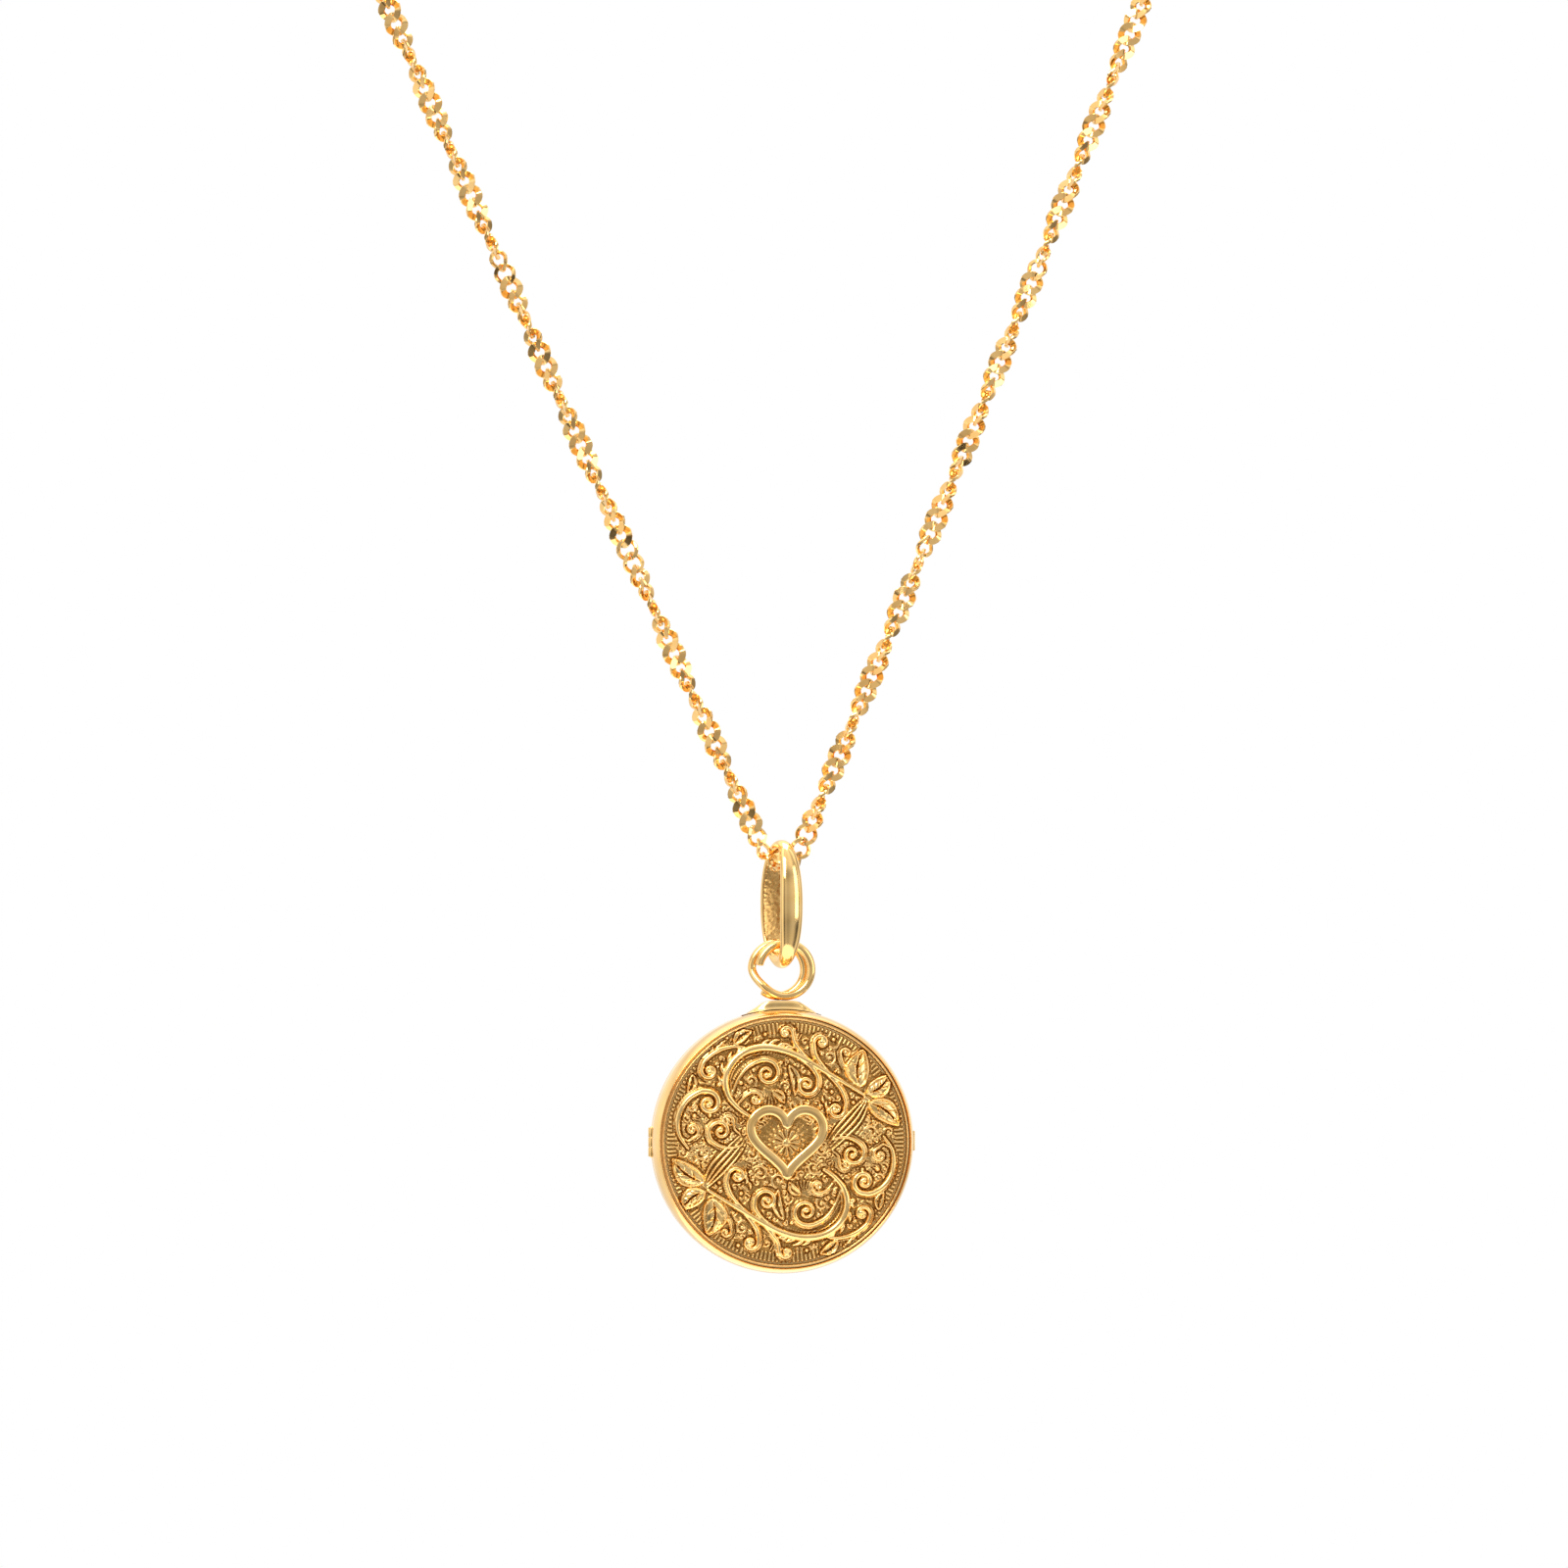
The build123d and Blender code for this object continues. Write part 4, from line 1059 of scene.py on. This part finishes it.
# ----------------------------------------------------------------------------
# bail: long oval loop of half-round section, hollow on its inner side
# ----------------------------------------------------------------------------
def bail_mesh(count=260, around=44):
    half_height = (BAIL_TOP - BAIL_BOTTOM) / 2

    def loop(t):
        c, s, power = np.cos(t), np.sin(t), 2 / 2.3
        return np.stack([BAIL_HALF * np.sign(c) * np.abs(c) ** power,
                         half_height * np.sign(s) * np.abs(s) ** power], -1)

    fine_t = np.linspace(0, TAU, 8001)
    run = run_length(loop(fine_t))
    t = np.interp(np.linspace(0, run[-1], count, endpoint=False), run, fine_t)
    rim = loop(t)
    ahead = loop(t + 2e-3) - loop(t - 2e-3)
    ahead /= np.hypot(ahead[:, 0], ahead[:, 1])[:, None]
    normal = np.stack([ahead[:, 1], -ahead[:, 0]], 1)       # away from the opening
    foot = np.clip(-rim[:, 1] / half_height, 0, 1) ** 6
    thick = BAIL_THICK + (BAIL_FOOT - BAIL_THICK) * foot
    points = rim - normal * (thick / 2)[:, None]
    zero = np.zeros(count)
    centre = np.stack([zero, Y_PART + points[:, 0],
                       (BAIL_TOP + BAIL_BOTTOM) / 2 + points[:, 1]], 1)
    side = np.tile((1.0, 0.0, 0.0), (count, 1))
    up = np.stack([zero, normal[:, 0], normal[:, 1]], 1)

    cosine, sine = unit_circle(around).T
    # half-round outside and hollow inside, blended to an oval at top and bottom
    crown = np.where(sine >= 0, -0.20 + 1.20 * np.abs(sine) ** 0.9,
                     np.interp(np.abs(sine), [0, 0.25, 0.45, 0.60, 0.80, 1.0],
                               [-0.20, -0.38, -0.52, -0.56, -0.48, -0.42]))
    u = np.clip(np.abs(rim[:, 1]) / half_height, 0, 1)
    blend = np.clip(1 - u ** 3.2, 0, 1)[:, None]
    half_width = (BAIL_WIDE_END + (BAIL_WIDE - BAIL_WIDE_END) * (1 - u ** 2.2)) / 2
    section = np.zeros((count, around, 2))
    section[:, :, 0] = half_width[:, None] * cosine
    section[:, :, 1] = (thick / 2)[:, None] * (blend * crown + (1 - blend) * sine)
    # rough floor of the hollow
    hollow = sine < -0.55
    section[:, hollow, 1] += (rng.random((count, hollow.sum())) - 0.5) * 0.055 * blend
    verts, faces = sweep(centre, side, up, section)
    # lift drops in the hollow inside the loop, where the material paints shade
    lift = (1 - 0.62 * blend * np.clip((-sine - 0.5) / 0.3, 0, 1)).reshape(-1)
    yaw = math.radians(BAIL_YAW)
    x, y = verts[:, 0].copy(), verts[:, 1] - Y_PART
    verts[:, 0] = x * math.cos(yaw) - y * math.sin(yaw)
    verts[:, 1] = Y_PART + x * math.sin(yaw) + y * math.cos(yaw)
    return (verts, faces), lift


bail, bail_lift = bail_mesh()
build("bail_loop", bail, GOLD_BAIL, "bail", "bail", angle=50, lift=bail_lift)

# ----------------------------------------------------------------------------
# chain: links spaced along a path in (x, z), turning about it as they go
# ----------------------------------------------------------------------------
CHAIN_TOP_Z = 79.2 + 4          # the path runs on past the last link
LEFT_SLOPES, RIGHT_SLOPES = (0.461, 0.434), (0.424, 0.391)      # dx/dz at bottom and top
# heights where the links have made another half turn
HALF_TURNS_LEFT = [24.57, 29.83, 35.77, 44.10, 50.03, 55.23, 60.70, 66.90, 73.03, 78.25]
HALF_TURNS_RIGHT = [23.03, 28.10, 33.90, 38.70, 44.70, 50.23, 55.30, 60.83, 65.97, 71.70, 79.08]


def strand(sign, slope, slope_top, steps=240):
    """Path from the end of the bend up one side."""
    lean = math.atan(slope)
    x, z = TURN_R * math.cos(lean), TURN_Z - TURN_R * math.sin(lean)
    dz = (CHAIN_TOP_Z - z) / steps
    points = []
    for i in range(steps + 1):
        points.append((sign * x, z))
        x += dz * (slope + (slope_top - slope) * (i + 0.5) / steps)
        z += dz
    return points


def chain_path():
    start, end = math.pi + math.atan(LEFT_SLOPES[0]), TAU - math.atan(RIGHT_SLOPES[0])
    angles = [start + (end - start) * i / 60 for i in range(1, 60)]
    bend = [(TURN_R * math.cos(a), TURN_Z + TURN_R * math.sin(a)) for a in angles]
    return np.array(strand(-1, *LEFT_SLOPES)[::-1] + bend + strand(1, *RIGHT_SLOPES))


path = chain_path()
path_run = run_length(path)
lowest = int(np.argmin(path[:, 1]))


def chain_at(s):
    """Point and direction at distance s from the lowest point, positive to the right (+X)."""
    s = s + path_run[lowest]
    i = int(np.clip(np.searchsorted(path_run, s, side="right") - 1, 0, len(path_run) - 2))
    share = (s - path_run[i]) / (path_run[i + 1] - path_run[i])
    point = path[i] + share * (path[i + 1] - path[i])
    ahead = path[min(len(path) - 1, i + 2)] - path[max(0, i - 1)]
    return point, ahead / np.hypot(*ahead)


def distance_at_height(height, sign):
    i = lowest
    while path[i][1] < height:
        i += sign
    return path_run[i] - path_run[lowest]


# distance along the chain, turn of the link about the path in degrees
LINK_TURNS = np.array(
    [(distance_at_height(z, -1), 270.0 + 180 * i) for i, z in enumerate(HALF_TURNS_LEFT)][::-1]
    + [(0.0, 75.0)]
    + [(distance_at_height(z, 1), -90.0 - 180 * i) for i, z in enumerate(HALF_TURNS_RIGHT)])


def link_mesh(outer, inner, half, twist, count=34):
    """Link about the origin: x along the chain, y its wide way, z its thickness.

    outer and inner are the section's reach from the wire centre, half its half-thickness,
    and twist the turn in degrees from the middle to each end.
    """
    def line(t):
        x, width = LINK_HALF_LENGTH * np.cos(t), LINK_HALF_WIDTH * np.sin(t)
        phase = math.radians(twist) * x / LINK_HALF_LENGTH
        return np.stack([x, width * np.cos(phase), width * np.sin(phase)], 1)

    t = np.arange(count) * TAU / count
    centre = line(t)
    ahead = line(t + 1e-3) - line(t - 1e-3)
    ahead /= np.linalg.norm(ahead, axis=1)[:, None]
    side = centre - ahead * (centre * ahead).sum(1)[:, None]
    side /= np.linalg.norm(side, axis=1)[:, None]
    # hammered section with cut corners
    section = np.array([
        (outer, 0.045), (outer - 0.055, half), (-inner + 0.075, half), (-inner, 0.040),
        (-inner, -0.040), (-inner + 0.075, -half), (outer - 0.055, -half), (outer, -0.045)])
    verts, faces = sweep(centre, side, np.cross(ahead, side), section)
    # flats cut on the faces and on the sides
    verts[:, 2] = np.clip(verts[:, 2], -0.20, 0.20)
    flat_y = LINK_HALF_WIDTH + 0.165
    verts[:, 1] = np.clip(verts[:, 1], -flat_y, flat_y)
    return verts, faces


LINK = link_mesh(outer=0.205, inner=0.265, half=0.120, twist=42.0)
NARROW_LINK = link_mesh(outer=0.142, inner=0.142, half=0.112, twist=30.0)


def chain_links(first, last):
    """Links of one segment; its end links and the whole centre are narrow."""
    links = []
    for k in range(first, last + 1):
        s = k * LINK_PITCH
        (x, z), (ahead_x, ahead_z) = chain_at(s)
        turn = math.radians(float(np.interp(s, *LINK_TURNS.T)))
        ahead = np.array([ahead_x, 0, ahead_z])
        normal = np.array([-ahead_z, 0, ahead_x])
        side = normal * math.cos(turn) + np.cross(ahead, normal) * math.sin(turn)
        up = np.cross(ahead, side)
        narrow = k in (first, last) or abs(k) <= CENTRE_LINKS
        verts, faces = NARROW_LINK if narrow else LINK
        verts = (np.array([x, Y_PART, z]) + verts[:, :1] * ahead + verts[:, 1:2] * side
                 + verts[:, 2:] * up)
        links.append((verts, faces))
    return join(links)


def chain_segment(name, body, first, last):
    build(name + "_links", chain_links(first, last), GOLD_CHAIN, body, name,
          angle=22)


SIDES = (("left", -1), ("right", 1))
chain_segment("chain_links_centre", "chain_centre", -CENTRE_LINKS, CENTRE_LINKS)
for side, sign in SIDES:
    for i, level in enumerate(("lower", "middle", "upper")):
        near = CENTRE_LINKS + i * LINKS_PER_SEGMENT + 1
        far = CENTRE_LINKS + (i + 1) * LINKS_PER_SEGMENT
        name = f"chain_{side}_{level}"
        chain_segment(name, name, *sorted((sign * near, sign * far)))

LUG_INNER_R, LUG_OUTER_R = 0.42, 0.72
EYE_INNER_R, EYE_OUTER_R = 0.85, 1.35


def end_eye(sign):
    """Round eye with a small lug: two rounded rings that run into each other."""
    last = CENTRE_LINKS + 3 * LINKS_PER_SEGMENT
    lug_s = last * LINK_PITCH + LINK_HALF_LENGTH - CHAIN_WIRE / 2 - 0.02 + LUG_INNER_R
    eye_s = lug_s + LUG_INNER_R + EYE_INNER_R + 0.36
    half, edge = 0.25, 0.10
    rings = []
    for s, inner, outer in ((lug_s, LUG_INNER_R, LUG_OUTER_R), (eye_s, EYE_INNER_R, EYE_OUTER_R)):
        (x, z), _ = chain_at(sign * s)
        lower = [(inner, -half + 0.03), (inner + 0.03, -half), (outer - edge, -half),
                 (outer - edge * 0.3, -half + edge * 0.3), (outer, -half + edge)]
        profile = lower + [(radius, -y) for radius, y in lower[::-1]]
        verts, faces = lathe(profile, 72, closed=True)
        rings.append((verts + np.array([x, Y_PART, z]), faces))
    return join(rings)


for side, sign in SIDES:
    build(f"chain_end_eye_{side}_ring", end_eye(sign), GOLD, f"chain_{side}_upper",
          f"chain_end_eye_{side}", angle=40)


# ----------------------------------------------------------------------------
# inside each cover: frame, window and blank picture; y_sign points into the case
# ----------------------------------------------------------------------------
def frame_profile(floor_y, y_sign):
    # (radius, height above the cover's floor)
    face = 0.75
    profile = [(7.56, 0.20), (8.00, 0.25), (8.02, 0.30), (8.02, face - 0.14),
               (7.985, face - 0.05), (7.90, face)]
    # two turned beads on the face of the frame
    for r in (7.62, 7.30):
        profile += [(r + 0.14, face), (r + 0.11, face - 0.045), (r + 0.04, face - 0.02),
                    (r, face), (r - 0.04, face - 0.02), (r - 0.11, face - 0.045)]
    profile += [(7.13, face), (7.07, face - 0.06), (7.05, face - 0.12), (7.05, 0.46),
                (7.08, 0.45), (7.56, 0.45)]
    return [(radius, floor_y + y_sign * height) for radius, height in profile]


def disc(y0, y1, face_r, radius, bevel):
    """Flat disc between two depths; bevel is signed along y."""
    return lathe([(0, y0), (4, y0), (face_r, y0), (radius, y0 + bevel), (radius, y1 - bevel),
                  (face_r, y1), (4, y1), (0, y1)], 160)


for side, floor_y, y_sign in (("back", BACK_FLOOR_Y, -1), ("front", FRONT_FLOOR_Y, 1)):
    body = f"locket_{side}"
    ring = build(f"{side}_picture_frame_ring",
                 lathe(frame_profile(floor_y, y_sign), 240, closed=True), GOLD_INNER, body,
                 f"{side}_picture_frame", angle=30)
    face_y = floor_y + y_sign * 0.75
    for z in (6.80, -7.30):     # notches at the inner edge, top and bottom
        cut(ring, block((-0.75, 0.75), (face_y - 0.18, face_y + 0.18), (z, z + 0.50)))
    build(f"{side}_picture_card",
          disc(floor_y, floor_y + y_sign * 0.20, 7.46, 7.50, y_sign * 0.03),
          CARD, body, f"{side}_picture")
    build(f"{side}_window_disc",
          disc(floor_y + y_sign * 0.205, floor_y + y_sign * 0.445, 7.47, 7.52, y_sign * 0.04),
          WINDOW, body, f"{side}_window")

# the catch bead and the thumb tab keep the CAD shape and get a finish
for key, material in (("catch_pip", GOLD_INNER), ("thumb_tab", GOLD)):
    nodes[key].data.materials.clear()
    nodes[key].data.materials.append(material)

# ----------------------------------------------------------------------------
# studio: pale floor, white surround, soft reflections, camera
# ----------------------------------------------------------------------------
# brightness of the reflected surround: (share of the way round, value), (share up, value)
AZIMUTH_STOPS = [
    (0.00, 0.42), (0.05, 0.62), (0.10, 0.08), (0.16, 1.30), (0.24, 1.20), (0.29, 0.30),
    (0.34, 1.25), (0.45, 1.15), (0.50, 1.15), (0.57, 1.15), (0.65, 1.25), (0.71, 0.25),
    (0.77, 1.15), (0.83, 0.05), (0.90, 0.75), (1.00, 0.42)]
HEIGHT_STOPS = [(0.00, 0.40), (0.22, 0.30), (0.40, 0.06), (0.48, 0.42), (0.60, 0.62),
                (0.70, 0.12), (0.82, 1.3), (1.0, 1.8)]


def studio_world():
    """White to the camera; bright and dark bands to everything else."""
    world = bpy.data.worlds.new("studio")
    bpy.context.scene.world = world
    shader = Shader(world)
    shader.tree.nodes.clear()
    white = shader.add("Background", {"Color": (1, 1, 1, 1), "Strength": 1.0})
    direction = shader.add("TexCoord").outputs["Generated"]
    split = shader.add("SeparateXYZ", {0: direction}).outputs
    angle = shader.add("Math", {0: split["X"], 1: split["Y"]}, operation="ARCTAN2")
    # angle in radians to a share of the way round
    around = shader.add("Math", {0: angle.outputs[0], 1: 1 / TAU, 2: 0.5},
                        operation="MULTIPLY_ADD")
    bands = shader.ramp(around.outputs[0],
                        [(p, (c, c * 0.985, c * 0.96)) for p, c in AZIMUTH_STOPS], "EASE")
    rise = shader.add("MapRange", {"Value": split["Z"], "From Min": -1, "From Max": 1})
    levels = shader.ramp(rise.outputs["Result"], HEIGHT_STOPS, "EASE")
    color = shader.mix("RGBA", 0.36, bands, levels)
    surround = shader.add("Background", {"Color": color, "Strength": 1.16})
    camera_ray = shader.add("LightPath").outputs["Is Camera Ray"]
    mix = shader.add("MixShader", {"Fac": camera_ray, 1: surround.outputs[0],
                                   2: white.outputs[0]})
    shader.add("OutputWorld", {"Surface": mix.outputs[0]})


def studio_floor():
    """Round slab under the locket."""
    material, shader = new_material("studio_floor")
    tone = shader.ramp(shader.noise(scale=40), [(0.3, (0.93, 0.93, 0.925)),
                                                (0.7, (0.96, 0.96, 0.955))])
    shader.surface({"Base Color": tone, "Roughness": 0.7})
    verts, faces = lathe([(0, -0.001), (60, 0), (61.5, -0.6), (61.5, -2), (0, -2)], 128)
    x, y, z = verts.T
    floor = mesh_object("studio_floor", (np.stack([x, -z + Y_PART, y - 36.0], 1), faces))
    floor.data.materials.append(material)


def aim(ob, location, target):
    ob.location = location
    ob.rotation_euler = (Vector(target) - ob.location).to_track_quat("-Z", "Y").to_euler()
    bpy.context.scene.collection.objects.link(ob)


# name, location and size in metres, power in watts
AREA_LIGHTS = (("key_soft", (-0.22, -0.34, 0.30), (0.20, 0.26), 1.15),
               ("fill_soft", (0.34, -0.26, 0.10), (0.16, 0.30), 0.35),
               ("top_soft", (0.02, 0.05, 0.42), (0.25, 0.25), 0.8))
LIGHT_TARGET = (0, 0, 0.02)


def studio_lights():
    for name, location, size, power in AREA_LIGHTS:
        light = bpy.data.lights.new(name, "AREA")
        light.shape = "RECTANGLE"
        light.size, light.size_y = size
        light.energy = power
        light.color = (1, 0.98, 0.95)
        aim(bpy.data.objects.new(name, light), location, LIGHT_TARGET)


# camera target and distance in metres
CAMERA_TARGET = Vector((0.00017, Y_PART * MM, 0.0243))
CAMERA_DISTANCE = 0.60
CAMERA_AZIMUTH = math.radians(-8.6)     # to the left of straight in front


def studio_camera():
    data = bpy.data.cameras.new("camera")
    data.sensor_width = 36.0
    data.lens = 202.5
    data.clip_start, data.clip_end = 0.01, 10
    camera = bpy.data.objects.new("camera", data)
    away = Vector((math.sin(CAMERA_AZIMUTH), -math.cos(CAMERA_AZIMUTH), 0))
    aim(camera, CAMERA_TARGET + CAMERA_DISTANCE * away, CAMERA_TARGET)
    bpy.context.scene.camera = camera
    bpy.context.scene.view_settings.view_transform = "Standard"


studio_world()
studio_floor()
studio_lights()
studio_camera()

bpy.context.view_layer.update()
